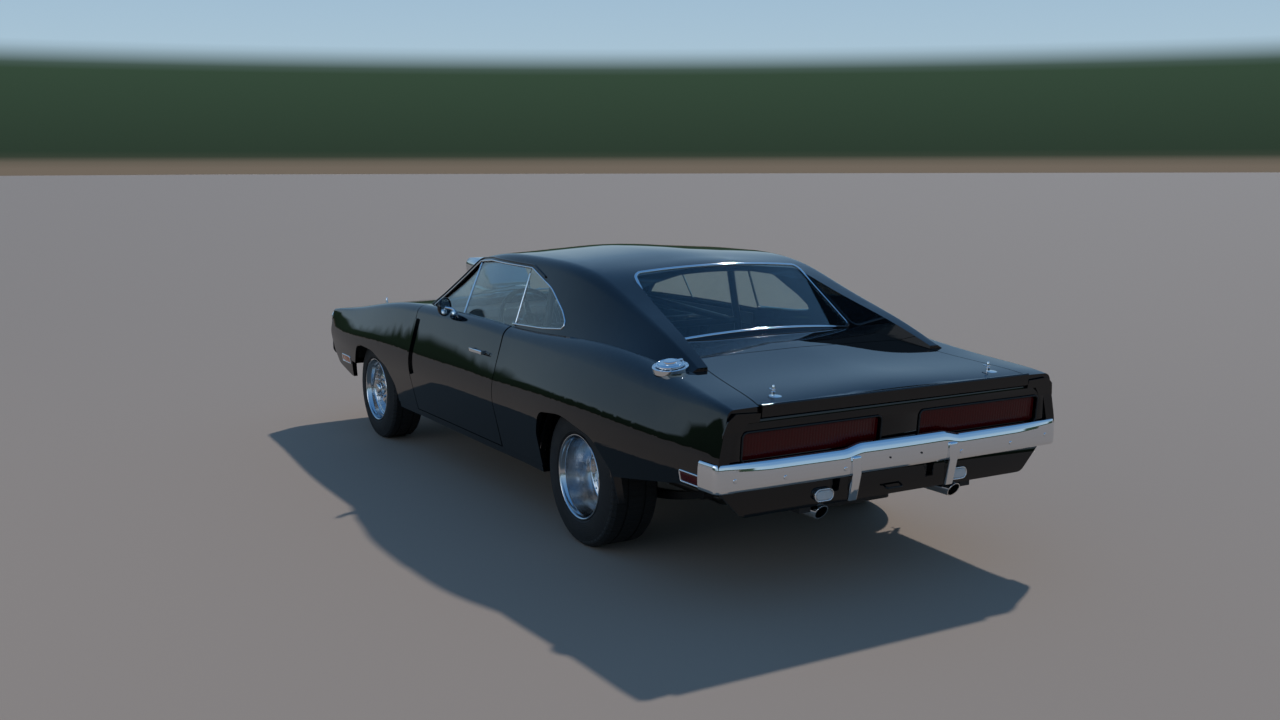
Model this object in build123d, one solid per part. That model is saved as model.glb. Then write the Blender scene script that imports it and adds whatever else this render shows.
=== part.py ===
from build123d import *
import math
import os

# Two-door fastback muscle car, in millimetres. +X is forward, +Y is left, +Z is up.
# The origin is on the ground, at the middle of the car's length and width.

# Driving dimensions
WHEELBASE = 2972.0
FRONT_AXLE_X = 1676.0
REAR_AXLE_X = FRONT_AXLE_X - WHEELBASE
HALF_LENGTH = 2642.0
HALF_WIDTH = 973.0
NOSE_X = 2552.0
TAIL_X = -2592.0

# Moving gaps between panels, and seats between fixed pieces
PANEL_GAP = 5.5
DOOR_FRONT_GAP = 8.0
SEAT = 0.3

# Panel thicknesses
FENDER_WALL = 45.0
QUARTER_WALL = 60.0
DECK_WALL = 30.0
TAIL_RIM = 52.0
ROOF_WALL = 34.0
PILLAR_WALL = 45.0
LID_WALL = 24.0
GLASS_THICKNESS = 6.0

# Cuts between panels, along the car
DOOR_FRONT_X = 880.0
DOOR_REAR_X = -400.0
HOOD_REAR_X = 1070.0
HOOD_FRONT_X = 2538.0
HOOD_HALF_WIDTH = 700.0
LID_FRONT_X = -1875.0
LID_FRONT_HALF_WIDTH = 612.0
LID_REAR_HALF_WIDTH = 752.0
LID_LIP_Z = 846.0
TAIL_FACE_X = -2592.0
LAMP_SPAN = (116.0, 828.0)
LAMP_BOTTOM_Z = 668.0
LAMP_TOP_Z = 782.0
LAMP_BACK_X = -2556.0
LAMP_RIM = 9.0
DOOR_BOTTOM_Z = 330.0
DOOR_INNER_Y = 790.0
PILLAR_FOOT_Y = 784.5
PILLAR_FOOT_Z = 945.0
PILLAR_FOOT_X = 836.0
CABIN_FLOOR_Z = 325.0
FLOOR_THICKNESS = 25.0
TRUNK_FLOOR_Z = 470.0
FIREWALL_X = 1020.0
FIREWALL_THICKNESS = 25.0

# Wheels: front and rear differ in tyre size and in the depth of the dish
TYRE_REAR_RADIUS = 345.0
TYRE_REAR_WIDTH = 275.0
TYRE_FRONT_RADIUS = 333.0
TYRE_FRONT_WIDTH = 235.0
RIM_LIP_Y_REAR = 903.0
RIM_LIP_Y_FRONT = 896.0
RIM_FLANGE_RADIUS = 211.0
RIM_SEAT_RADIUS = 203.0
RIM_WALL = 9.0
RIM_FLANGE_WIDTH = 10.0
DISH_REAR = 178.0
DISH_FRONT = 62.0
TYRE_BULGE = 5.0
HUB_RADIUS = 42.0
LUG_RADIUS = 10.5
LUG_CIRCLE = 61.0
KINGPIN_Y = 705.0
SPINDLE_RADIUS = 30.0
SPINDLE_CLEARANCE = 0.4

# Body side sections from tail to nose. Columns: station, sill half width and height,
# widest half width and height with its rounding, shoulder half width and height with
# its rounding, and the deck's height on the centreline.
BODY_SECTIONS = (
    (TAIL_X, 928, 450, 957, 650, 300, 905, 888, 35, 905),
    (-2300, 922, 400, 968, 650, 340, 897, 924, 70, 940),
    (-1950, 912, 330, 980, 652, 380, 884, 966, 120, 978),
    (-1600, 906, 300, 989, 655, 400, 874, 1006, 150, 1030),
    (REAR_AXLE_X, 903, 290, 991, 655, 400, 868, 1018, 150, 1046),
    (-900, 896, 288, 983, 650, 380, 868, 1002, 110, 1024),
    (DOOR_REAR_X, 888, 287, 970, 642, 350, 868, 986, 80, 1004),
    (250, 885, 287, 966, 640, 350, 869, 992, 70, 1010),
    (DOOR_FRONT_X, 886, 288, 968, 640, 350, 872, 984, 70, 1002),
    (1400, 893, 290, 973, 645, 350, 876, 950, 60, 976),
    (1968, 905, 300, 968, 640, 300, 884, 872, 45, 906),
    (2350, 905, 320, 948, 640, 260, 893, 826, 30, 858),
    (NOSE_X, 895, 340, 930, 640, 220, 898, 802, 22, 824),
)
DECK_CROWN_RADIUS = 6000.0

# Roof sections from cowl to the tail of the sails. Columns: station, base half width and
# height, roof edge half width and height with its rounding, and height on the centreline.
ROOF_SECTIONS = (
    (1020, 825, 900, 640, 1180, 60, 1220),
    (700, 842, 900, 655, 1245, 60, 1288),
    (350, 852, 900, 668, 1305, 60, 1348),
    (0, 855, 900, 690, 1348, 65, 1388),
    (-350, 855, 900, 697, 1356, 70, 1398),
    (-700, 858, 905, 696, 1350, 80, 1390),
    (-950, 862, 915, 690, 1325, 85, 1370),
    (-1163, 862, 930, 682, 1275, 85, 1343),
    (-1386, 858, 945, 680, 1203, 70, 1255),
    (-1600, 850, 955, 684, 1136, 55, 1160),
    (-1798, 835, 950, 692, 1072, 40, 1085),
    (-1973, 800, 930, 700, 1006, 25, 1016),
    (-2060, 785, 925, 705, 970, 15, 980),
)
ROOF_CROWN_RADIUS = 2500.0

# Windshield: base corner and top corner of the glass in side view, and its bow across
SHIELD_BASE = (924.6, 1028.5)
SHIELD_TOP = (368.0, 1325.5)
SHIELD_BOW_RADIUS = 5800.0

# Rear window: middle of the top and bottom edges in side view, half widths, bow across
BACKLIGHT_TOP = (-1172.0, 1346.0)
BACKLIGHT_BOTTOM = (-1600.0, 1040.0)
BACKLIGHT_TOP_HALF = 506.0
BACKLIGHT_BOTTOM_HALF = 566.0
BACKLIGHT_BOW_RADIUS = 4200.0
BACKLIGHT_CORNER = 45.0
TUNNEL_HALF_AT_TOP = 516.0
TUNNEL_FLARE = 0.155

# Side window opening in side view, with the rounding of each corner
SIDE_WINDOW = (
    (838, 960, 0),
    (812, 996, 8),
    (345, 1286, 20),
    (150, 1303, 300),
    (-440, 1300, 90),
    (-720, 1215, 400),
    (-915, 1112, 60),
    (-1012, 1036, 22),
    (-760, 1012, 300),
    (-452, 1000, 12),
    (DOOR_REAR_X - 2, 960, 0),
)

# Wheel arches in side view, rear then front, with the rounding of each corner
REAR_ARCH = (
    (-905, 200, 0),
    (-921, 497, 60),
    (-1000, 628, 90),
    (-1242, 655, 500),
    (-1560, 596, 150),
    (-1690, 470, 60),
    (-1712, 200, 0),
)
FRONT_ARCH = (
    (1204, 200, 0),
    (1222, 436, 60),
    (1322, 548, 120),
    (1560, 622, 300),
    (1850, 632, 120),
    (1950, 520, 100),
    (2062, 370, 30),
    (2100, 200, 0),
)
REAR_HOUSE_RADIUS = 385.0
FRONT_HOUSE_RADIUS = 405.0
HOUSE_OUTER_Y = 938.0
REAR_HOUSE_INNER_Y = 590.0
FRONT_HOUSE_INNER_Y = 492.0
HOUSE_WALL = 12.0
REAR_HOUSE_OPEN = 75.0
FRONT_HOUSE_OPEN = 170.0

# Supercharger and engine
ENGINE_BACK_X = 1075.0
ENGINE_FRONT_X = 1760.0
ENGINE_HALF_WIDTH = 262.0
ENGINE_BOTTOM_Z = 330.0
ENGINE_TOP_Z = 800.0
BLOWER_BACK_X = 1310.0
BLOWER_FRONT_X = 1790.0
BLOWER_HALF_WIDTH = 130.0
BLOWER_TOP_Z = 1010.0
SCOOP_BACK_X = 1400.0
SCOOP_FRONT_X = 1835.0
SCOOP_HALF_WIDTH = 150.0
SCOOP_TOP_Z = 1200.0
HOOD_HOLE_FRONT_X = 1882.0
HOOD_HOLE_HALF_WIDTH = 190.0

# Places of small pieces
FILLER_PLACE = (-1981.0, 798.0, 972.0)
FILLER_RADIUS = 82.5
STEERING_WHEEL_PLACE = (345.0, 365.0, 905.0)
STEERING_WHEEL_RADIUS = 190.0
COLUMN_RAKE = 22.0
RAIL_INNER_Y = 430.0
RAIL_OUTER_Y = 490.0
RAIL_JOINTS = (1018.0, -956.0, -1859.0)
REAR_BUMPER_HALF = 972.0
REAR_BUMPER_Z0 = 548.0
REAR_BUMPER_Z1 = 668.0
REAR_BUMPER_RISE = 20.0
PLATE_HOLE_SPACING = 178.0
PLATE_HOLE_RADIUS = 3.5
EXHAUST_TIP = (-2545.0, 381.0, 385.0)
EXHAUST_RADIUS = 32.0
HANDLE_POSTS = (-236.0, -100.0)
MIRROR_BASE = (366.0, 848.0, 970.0)
MIRROR_HEAD = (392.0, 904.0, 1021.0)
MIRROR_HEAD_RADIUS = 56.0
MIRROR_TURN = 30.0
MIRROR_BASE_RADIUS = 20.0


def cross_plane(x):
    return Plane(origin=(x, 0, 0), x_dir=(0, 1, 0), z_dir=(1, 0, 0))


def mirrored(shape):
    return shape.mirror(Plane.XZ)


def block(x0, x1, y0, y1, z0, z1):
    size = Box(x1 - x0, y1 - y0, z1 - z0)
    return Pos((x0 + x1) / 2, (y0 + y1) / 2, (z0 + z1) / 2) * size


def side_face(corners, y=0.0):
    """Face in side view from rows of x, z and corner rounding."""
    points = [(x, z) for x, z, r in corners]
    radii = [r for x, z, r in corners]
    outline = FilletPolyline(*points, radius=radii, close=True)
    plane = Plane(origin=(0, y, 0), x_dir=(1, 0, 0), z_dir=(0, -1, 0))
    return plane * make_face(outline)


def side_prism(corners, y0, y1):
    """Side view outline extruded from y0 to y1."""
    return extrude(side_face(corners, y0), y1 - y0, dir=(0, 1, 0))


def plan_prism(corners, z0, z1):
    """Plan outline, rows of x and y, extruded from z0 to z1."""
    return Pos(0, 0, z0) * extrude(make_face(Polyline(*corners, close=True)), z1 - z0)


def cylinder_y(radius, x, z, y0, y1):
    tube = Rot(-90, 0, 0) * Cylinder(radius, abs(y1 - y0))
    return Pos(x, (y0 + y1) / 2, z) * tube


def cylinder_z(radius, x, y, z0, z1):
    return Pos(x, y, (z0 + z1) / 2) * Cylinder(radius, z1 - z0)


def cylinder_x(radius, y, z, x0, x1):
    return Pos((x0 + x1) / 2, y, z) * Rot(0, 90, 0) * Cylinder(radius, abs(x1 - x0))


def pipe(points, radius, bend, wall=0.0):
    """Tube along straight runs joined by arcs."""
    path = FilletPolyline(*points, radius=bend)
    start = Plane(origin=path @ 0, z_dir=path % 0)
    tube = sweep(start * Circle(radius), path=path)
    if wall:
        tube = tube - sweep(start * Circle(radius - wall), path=path)
    return tube


def body_section(row, side, top, sill):
    x, y_sill, z_sill, y_wide, z_wide, r_wide, y_top, z_top, r_top, z_mid = row
    left = [(y_sill + side, z_sill - sill), (y_wide + side, z_wide), (y_top + side, z_top + top)]
    right = [(-y, z) for y, z in reversed(left)]
    radii = [0, r_wide, r_top, DECK_CROWN_RADIUS, r_top, r_wide, 0]
    outline = FilletPolyline(*left, (0, z_mid + top), *right, radius=radii, close=True)
    return cross_plane(x) * make_face(outline)


def body_loft(side=0.0, top=0.0, sill=0.0):
    """Lower body as one solid, grown or shrunk at the sides and on top."""
    return loft([body_section(row, side, top, sill) for row in BODY_SECTIONS])


def roof_section(row, side, top, base):
    x, y_base, z_base, y_ridge, z_ridge, r_ridge, z_roof = row
    left = [(y_base + side, z_base - base), (y_ridge + side, z_ridge + top)]
    right = [(-y, z) for y, z in reversed(left)]
    radii = [0, r_ridge, ROOF_CROWN_RADIUS, r_ridge, 0]
    outline = FilletPolyline(*left, (0, z_roof + top), *right, radius=radii, close=True)
    return cross_plane(x) * make_face(outline)


def roof_loft(side=0.0, top=0.0, base=0.0):
    """Roof, pillars and sails as one solid, grown or shrunk."""
    return loft([roof_section(row, side, top, base) for row in ROOF_SECTIONS])


def bowed_plane(low, high):
    """Plane of a bowed window: local X across the car, local Y up the glass, local Z out."""
    run = Vector(high[0] - low[0], 0, high[1] - low[1]).normalized()
    out = Vector(0, 1, 0).cross(run) if low[0] > high[0] else run.cross(Vector(0, 1, 0))
    if out.Z < 0:
        out = out * -1
    across = run.cross(out)
    return Plane(origin=(low[0], 0, low[1]), x_dir=across, z_dir=out)


def bowed_slab(plane, bow, reach, length_down, length_up, out_from, out_to):
    """Slab between two bowed sheets at the given distances outside the glass line."""
    outline = []
    for out in (out_from, out_to):
        sag = bow - math.sqrt(bow * bow - reach * reach)
        outline.append(((-reach, out - sag), (0, out), (reach, out - sag)))
    lower = ThreePointArc(*outline[0])
    upper = ThreePointArc(*outline[1])
    ends = [Line(lower @ 0, upper @ 0), Line(lower @ 1, upper @ 1)]
    strip = make_face([lower, upper, *ends])
    local = Plane(origin=(0, -length_down, 0), x_dir=(1, 0, 0), z_dir=(0, -1, 0))
    slab = extrude(local * strip, length_down + length_up, dir=(0, 1, 0))
    return plane * slab


def trapezoid_prism(plane, bottom_half, top_half, bottom, top, rounding, depth):
    corners = ((-bottom_half, bottom), (bottom_half, bottom), (top_half, top), (-top_half, top))
    outline = FilletPolyline(*corners, radius=rounding, close=True)
    return plane * (Pos(0, 0, -depth) * extrude(make_face(outline), 2 * depth))


def tunnel_half(x):
    """Half width between the sails at a station behind the rear window's top."""
    return TUNNEL_HALF_AT_TOP + TUNNEL_FLARE * (BACKLIGHT_TOP[0] - x)


def lid_half(x):
    share = (LID_FRONT_X - x) / (LID_FRONT_X - TAIL_X)
    return LID_FRONT_HALF_WIDTH + share * (LID_REAR_HALF_WIDTH - LID_FRONT_HALF_WIDTH)


BODY_OUTER = body_loft()
BODY_INNER = body_loft(-QUARTER_WALL, -DECK_WALL, 200)
FENDER_INNER = body_loft(-FENDER_WALL, -DECK_WALL, 200)
LID_INNER = body_loft(-QUARTER_WALL, -LID_WALL, 200)
TAIL_INNER = body_loft(-TAIL_RIM, -DECK_WALL, 200)
BODY_SEAT = body_loft(SEAT, SEAT, 0)
ROOF_OUTER = roof_loft()
ROOF_INNER = roof_loft(-PILLAR_WALL, -ROOF_WALL, 60)
SHIELD_PLANE = bowed_plane(SHIELD_BASE, SHIELD_TOP)
BACKLIGHT_PLANE = bowed_plane(BACKLIGHT_BOTTOM, BACKLIGHT_TOP)
BACKLIGHT_LENGTH = math.dist(BACKLIGHT_TOP, BACKLIGHT_BOTTOM)


def behind_shield(offset):
    """Everything behind and below the windshield's outer sheet, moved out by an offset."""
    return bowed_slab(SHIELD_PLANE, SHIELD_BOW_RADIUS, 1200, 900, 4500, -3500, offset)


def ahead_of_backlight(offset):
    """Everything ahead of and below the rear window's outer sheet, moved out by an offset."""
    return bowed_slab(BACKLIGHT_PLANE, BACKLIGHT_BOW_RADIUS, 1100, 900, 4500, -3500, offset)


def side_window(y0, y1):
    return side_prism(SIDE_WINDOW, y0, y1)


def both(shape):
    return [shape, mirrored(shape)]


def arch_cut(corners, y0):
    return side_prism(corners, y0, HALF_WIDTH + 100)


def wheel_house(x, z, radius, inner_y, outer_y, open_height):
    """Tub over a wheel: half drum open below and on its outer side."""
    drum = cylinder_y(radius, x, z, inner_y, outer_y)
    room = cylinder_y(radius - HOUSE_WALL, x, z, inner_y + HOUSE_WALL, outer_y + 5)
    return (drum - room) - block(
        x - radius - 5, x + radius + 5, inner_y - 5, outer_y + 10, z - radius - 5, z + open_height
    )


def make_roof_panel(filler_pocket):
    tunnel = plan_prism(
        (
            (-1100, tunnel_half(-1100)),
            (-2200, tunnel_half(-2200)),
            (-2200, -tunnel_half(-2200)),
            (-1100, -tunnel_half(-1100)),
        ),
        900,
        1600,
    )
    hollow = ROOF_INNER & behind_shield(-20) & ahead_of_backlight(-26)
    shell = (ROOF_OUTER & behind_shield(0)) - (tunnel - ahead_of_backlight(0)) - hollow
    frame = ROOF_INNER & bowed_slab(SHIELD_PLANE, SHIELD_BOW_RADIUS, 1200, 900, 620, -200, 60)
    shell = shell - frame
    window = trapezoid_prism(
        BACKLIGHT_PLANE,
        BACKLIGHT_BOTTOM_HALF,
        BACKLIGHT_TOP_HALF,
        16,
        BACKLIGHT_LENGTH - 14,
        BACKLIGHT_CORNER,
        60,
    )
    shell = shell - window - side_window(560, 1000) - side_window(-1000, -560)
    foot = (ROOF_OUTER & behind_shield(-9)) & block(
        PILLAR_FOOT_X, 905, 738, PILLAR_FOOT_Y, PILLAR_FOOT_Z, 1045
    )
    for side in both(foot):
        shell = shell + side
    door_zone = block(DOOR_REAR_X - 5, DOOR_FRONT_X + 6, -1000, 1000, 900, 1100)
    door_zone = door_zone - block(-500, 1000, -PILLAR_FOOT_Y, PILLAR_FOOT_Y, 800, 1200)
    clear = body_loft(PANEL_GAP + 1, PANEL_GAP + 1, 0) & door_zone
    seat = BODY_SEAT - block(PILLAR_FOOT_X, 884, -PILLAR_FOOT_Y, PILLAR_FOOT_Y, PILLAR_FOOT_Z, 1200)
    return shell - seat - clear - filler_pocket


def make_dutchman_panel():
    plan = plan_prism(
        (
            (-1500, tunnel_half(-1500) - SEAT),
            (LID_FRONT_X + PANEL_GAP, tunnel_half(LID_FRONT_X + PANEL_GAP) - SEAT),
            (LID_FRONT_X + PANEL_GAP, SEAT - tunnel_half(LID_FRONT_X + PANEL_GAP)),
            (-1500, SEAT - tunnel_half(-1500)),
        ),
        800,
        1300,
    )
    panel = (BODY_OUTER - LID_INNER) & plan
    shelf = block(-1499.7, -1010, -690, 690, 930, 950)
    stem = block(-1535, -1495, -tunnel_half(-1500) + 1, tunnel_half(-1500) - 1, 930, 1020)
    glass_room = bowed_slab(
        BACKLIGHT_PLANE, BACKLIGHT_BOW_RADIUS, 1100, -16, 620, -3 - GLASS_THICKNESS - SEAT, 60
    )
    return (panel + shelf + (stem & BODY_OUTER)) - ahead_of_backlight(-60) - glass_room


def make_quarter_panel():
    """Left quarter: outer skin and inner wall from the door to the tail."""
    cabin_y = DOOR_INNER_Y
    plan = plan_prism(
        (
            (DOOR_REAR_X - PANEL_GAP / 2, 1200),
            (DOOR_REAR_X - PANEL_GAP / 2, cabin_y),
            (-1120, cabin_y),
            (-1120, tunnel_half(-1200)),
            (-1500, tunnel_half(-1500)),
            (LID_FRONT_X, tunnel_half(LID_FRONT_X)),
            (LID_FRONT_X, lid_half(LID_FRONT_X) + PANEL_GAP),
            (-2700, lid_half(-2700) + PANEL_GAP),
            (-2700, 1200),
        ),
        0,
        1300,
    )
    quarter = (BODY_OUTER - BODY_INNER) & plan
    wheel = cylinder_y(
        REAR_HOUSE_RADIUS, REAR_AXLE_X, TYRE_REAR_RADIUS, REAR_HOUSE_INNER_Y, HOUSE_OUTER_Y
    )
    quarter = quarter - wheel - arch_cut(REAR_ARCH, HOUSE_OUTER_Y - 60)
    tub = wheel_house(
        REAR_AXLE_X, TYRE_REAR_RADIUS, REAR_HOUSE_RADIUS, REAR_HOUSE_INNER_Y, 925, REAR_HOUSE_OPEN
    )
    quarter = quarter + tub
    lower = side_prism(
        ((-1712, 200, 0), (-1706, 436, 0), (-2300, 534, 300), (-2700, 562, 0), (-2700, 200, 0)), 500, 1200
    )
    sill = block(-1000, DOOR_REAR_X + 50, 500, 1200, 100, CABIN_FLOOR_Z)
    tail_room = TAIL_INNER & block(TAIL_X - 10, -2540, 0, 1200, 400, 1200)
    return quarter - lower - sill - tail_room


def shield_foot():
    """Room for the windshield's lower edge."""
    return behind_shield(4) & block(600, 1012, -727, 727, 900, 1100)


def make_front_fender():
    """Left front fender from the door to the nose."""
    plan = plan_prism(
        (
            (DOOR_FRONT_X + DOOR_FRONT_GAP / 2, 1200),
            (DOOR_FRONT_X + DOOR_FRONT_GAP / 2, HOOD_HALF_WIDTH + PANEL_GAP),
            (NOSE_X + 10, HOOD_HALF_WIDTH + PANEL_GAP),
            (NOSE_X + 10, 1200),
        ),
        0,
        1300,
    )
    fender = (BODY_OUTER - FENDER_INNER) & plan
    wheel = cylinder_y(FRONT_HOUSE_RADIUS, FRONT_AXLE_X, TYRE_FRONT_RADIUS, 480, HOUSE_OUTER_Y)
    fender = fender - wheel - arch_cut(FRONT_ARCH, HOUSE_OUTER_Y - 60)
    lower = side_prism(
        (
            (2040, 200, 0),
            (2062, 366, 0),
            (2117, 371, 0),
            (2385, 429, 120),
            (2470, 506, 60),
            (2542, 640, 120),
            (2546, 860, 0),
            (2700, 860, 0),
            (2700, 200, 0),
        ),
        500,
        1200,
    )
    sill = block(800, 1300, 500, 1200, 100, CABIN_FLOOR_Z)
    return fender - lower - sill - shield_foot()


def door_opening_cut():
    """Tapered rear cut of the left door, wider inside so that the door swings clear."""
    return plan_prism(
        (
            (DOOR_REAR_X + PANEL_GAP / 2, 1200),
            (DOOR_REAR_X + PANEL_GAP / 2, 962),
            (DOOR_REAR_X + PANEL_GAP / 2 + 20, DOOR_INNER_Y - 1),
            (DOOR_FRONT_X - DOOR_FRONT_GAP / 2, DOOR_INNER_Y),
            (DOOR_FRONT_X - DOOR_FRONT_GAP / 2, 1200),
        ),
        DOOR_BOTTOM_Z,
        1100,
    )


def make_door():
    door = BODY_OUTER & door_opening_cut()
    well = side_prism(((700, 1020, 0), (760, 975, 0), (-410, 975, 0), (-410, 1020, 0)), 700, 822)
    for x in HANDLE_POSTS:
        door = door - block(x - SEAT, x + 18 + SEAT, 912 - SEAT, 960, 820 - SEAT, 836 + SEAT)
    return (door - well) + make_door_scoop()


def make_door_scoop():
    """Plain air scoop on the door's front edge, wider at its rear."""
    corners = ((868, 905), (838, 905), (838, 560), (868, 560))
    outline = make_face(Polyline(*corners, close=True))
    plane = Plane(origin=(0, 880, 0), x_dir=(1, 0, 0), z_dir=(0, -1, 0))
    bar = extrude(plane * outline, 110, dir=(0, 1, 0))
    return bar & body_loft(14, 0, 0)


def make_glass_strip():
    """Sheet of side glass, set a little inside the roof's outer surface."""
    return roof_loft(-12, 0, 0) - roof_loft(-12 - GLASS_THICKNESS, 0, 10)


DOOR_GLASS = (
    (830, 975.3, 0),
    (341, 1279.5, 20),
    (150, 1296, 300),
    (DOOR_REAR_X + PANEL_GAP / 2, 1293.5, 0),
    (DOOR_REAR_X + PANEL_GAP / 2, 975.3, 0),
)


def quarter_glass_outline():
    """Rear part of the window opening, smaller by the seat all round."""
    face = offset(side_face(SIDE_WINDOW, 600), amount=-SEAT)
    outline = extrude(face, 400, dir=(0, 1, 0))
    return outline & block(-1100, DOOR_REAR_X - PANEL_GAP / 2, 500, 1100, 1000 + SEAT, 1400)


def make_hood():
    plan = block(HOOD_REAR_X + PANEL_GAP, HOOD_FRONT_X, -HOOD_HALF_WIDTH, HOOD_HALF_WIDTH, 700, 1100)
    hood = (BODY_OUTER - LID_INNER) & plan
    hole = block(1290, HOOD_HOLE_FRONT_X, -HOOD_HOLE_HALF_WIDTH, HOOD_HOLE_HALF_WIDTH, 700, 1200)
    hole = fillet(hole.edges().filter_by(Axis.Z), 50)
    return hood - hole


def make_trunk_lid():
    plan = plan_prism(
        (
            (LID_FRONT_X, lid_half(LID_FRONT_X)),
            (-2700, lid_half(-2700)),
            (-2700, -lid_half(-2700)),
            (LID_FRONT_X, -lid_half(LID_FRONT_X)),
        ),
        600,
        1200,
    )
    lid = (BODY_OUTER - LID_INNER) & plan
    half = lid_half(TAIL_X)
    lip = side_prism(
        (
            (TAIL_X + 26, 880, 0),
            (TAIL_X + 2, 899, 0),
            (-2613, 903, 7),
            (-2606, LID_LIP_Z, 2),
            (TAIL_X + 4, LID_LIP_Z, 0),
        ),
        -half,
        half,
    )
    return lid + lip


def make_tail_panel():
    """Sloping face under the trunk lid's lip, with a rounded recess for each lamp."""
    face = (
        (-2545, 560, 0),
        (-2572, 560, 6),
        (TAIL_FACE_X, LAMP_TOP_Z, 200),
        (-2604, LID_LIP_Z - 8, 3),
        (-2545, LID_LIP_Z - 8, 0),
    )
    panel = side_prism(face, -905, 905) & body_loft(-TAIL_RIM - SEAT, -DECK_WALL - SEAT, 0)
    recess = lamp_outline(LAMP_RIM, LAMP_BACK_X, -90)
    for side in both(recess):
        panel = panel - side
    return panel


def lamp_outline(growth, x, length):
    """Wide rounded outline of the left tail lamp, extruded along the car."""
    y0, y1 = LAMP_SPAN
    size = (y1 - y0 + 2 * growth, LAMP_TOP_Z - LAMP_BOTTOM_Z + 2 * growth)
    outline = RectangleRounded(*size, 16 + growth)
    outline = Pos((y0 + y1) / 2, (LAMP_TOP_Z + LAMP_BOTTOM_Z) / 2) * outline
    return extrude(cross_plane(x) * outline, length)


def make_tail_lamps():
    lens = lamp_outline(0, LAMP_BACK_X - SEAT, -60)
    lens = lens & side_prism(
        ((-2550, 600, 0), (-2560, 600, 0), (-2585, 830, 0), (-2550, 830, 0)),
        0,
        1000,
    )
    bezel = Pos(385, 466) * SlotOverall(104, 58)
    reverse = extrude(cross_plane(-2540 - SEAT) * bezel, -24)
    return [*both(lens), *both(reverse)]


def make_side_markers():
    rear = block(-2494, -2314, 900, 960, 552, 594) & body_loft(3, 0, 0)
    front = block(2085, 2265, 900, 960, 462, 504) & body_loft(3, 0, 0)
    return [*both(rear - BODY_SEAT), *both(front - BODY_SEAT)]


def bumper_plan(z, inset):
    """Filled plan outline of the rear bumper at a height, drawn in by an inset."""
    half = [
        (-2470, REAR_BUMPER_HALF - inset),
        (-2600 + inset, REAR_BUMPER_HALF - 6 - inset),
        (-2622 + inset, 700),
        (-2634 + inset, 0),
    ]
    points = half + [(x, -y) for x, y in reversed(half[:-1])]
    outline = FilletPolyline(*points, radius=[0, 30, 900, 0, 900, 30, 0], close=True)
    return Pos(0, 0, z) * make_face(outline)


def make_rear_bumper():
    """Chrome bar wrapped round the tail: sloping top, raised middle, two upright guards."""
    levels = (
        (REAR_BUMPER_Z0, 16),
        (REAR_BUMPER_Z0 + 18, 0),
        (REAR_BUMPER_Z1 - 26, 0),
        (REAR_BUMPER_Z1, 26),
    )
    bar = loft([bumper_plan(z, inset) for z, inset in levels], ruled=True)
    middle = Pos(0, 0, REAR_BUMPER_RISE) * bar
    rise = ((330, 600), (250, 760), (-250, 760), (-330, 600))
    gate = extrude(cross_plane(-2700) * make_face(Polyline(*rise, close=True)), 240)
    bar = bar + (middle & gate)
    inner = (
        (-2400, 963),
        (-2592.3, 957),
        (-2594, 700),
        (-2600, 0),
        (-2594, -700),
        (-2592.3, -957),
        (-2400, -963),
    )
    bar = bar - plan_prism(inner, 400, 800)
    hole = cylinder_x(PLATE_HOLE_RADIUS, PLATE_HOLE_SPACING / 2, 610, -2700, -2550)
    for side in both(hole):
        bar = bar - side
    guard = side_prism(
        (
            (-2612, 437, 8),
            (-2598, 440, 0),
            (-2602, 560, 0),
            (-2628.5, 640, 0),
            (-HALF_LENGTH, 636, 8),
            (-HALF_LENGTH, 560, 60),
        ),
        252,
        298,
    )
    for side in both(guard):
        bar = bar + side
    return bar


def make_valances():
    rear_outline = make_face(
        FilletPolyline(
            (-905, 530), (-800, 419), (800, 419), (905, 530), radius=[0, 60, 60, 0], close=True
        )
    )
    rear = extrude(Plane(origin=(-2540, 0, 0), x_dir=(0, 1, 0), z_dir=(1, 0, 0)) * rear_outline, 18)
    front = side_prism(
        ((2536, 500, 0), (2470, 455, 0), (2400, 430, 0), (2330, 418, 0), (2330, 438, 0), (2400, 450, 0),
         (2462, 475, 0), (2524, 518, 0)), -900, 900
    )
    return [rear, front & body_loft(-FENDER_WALL - SEAT, 0, 0)]


def make_front_bumper():
    """Chrome loop round the grille."""
    outline = Pos(0, 630) * RectangleRounded(1830, 336, 60)
    hole = Pos(0, 640) * RectangleRounded(1740, 232, 34)
    ring = extrude(cross_plane(2546 + SEAT) * (outline - hole), 120)
    front = Pos(HALF_LENGTH - 5200, 0, 630) * Cylinder(5200, 500)
    return ring & front


def make_grille():
    panel = block(2516, 2540, -900, 900, 520, 760) & body_loft(
        -FENDER_WALL - SEAT, -DECK_WALL - SEAT, 0
    )
    for row in range(9):
        z = 540 + 25 * row
        for side in both(block(2526, 2560, 40, 470, z, z + 13)):
            panel = panel - side
    for side in both(block(2539, 2546, 500, 840, 532, 750)):
        panel = panel + side
    centre = block(2539, 2552, -18, 18, 524, 756)
    return panel + centre


def make_windows(strip):
    shield = ROOF_INNER & bowed_slab(
        SHIELD_PLANE, SHIELD_BOW_RADIUS, 1200, 60, 612, -2 - GLASS_THICKNESS, -2
    )
    shrink = roof_loft(-PILLAR_WALL - SEAT, -ROOF_WALL - SEAT, 60)
    shield = shield & shrink
    back = bowed_slab(BACKLIGHT_PLANE, BACKLIGHT_BOW_RADIUS, 1100, 20, 620, -3 - GLASS_THICKNESS, -3)
    back = back & trapezoid_prism(
        BACKLIGHT_PLANE,
        BACKLIGHT_BOTTOM_HALF - SEAT,
        BACKLIGHT_TOP_HALF - SEAT,
        16 + SEAT,
        BACKLIGHT_LENGTH - 14 - SEAT,
        BACKLIGHT_CORNER,
        60,
    )
    return [shield, back, *both(strip & quarter_glass_outline())]


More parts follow.
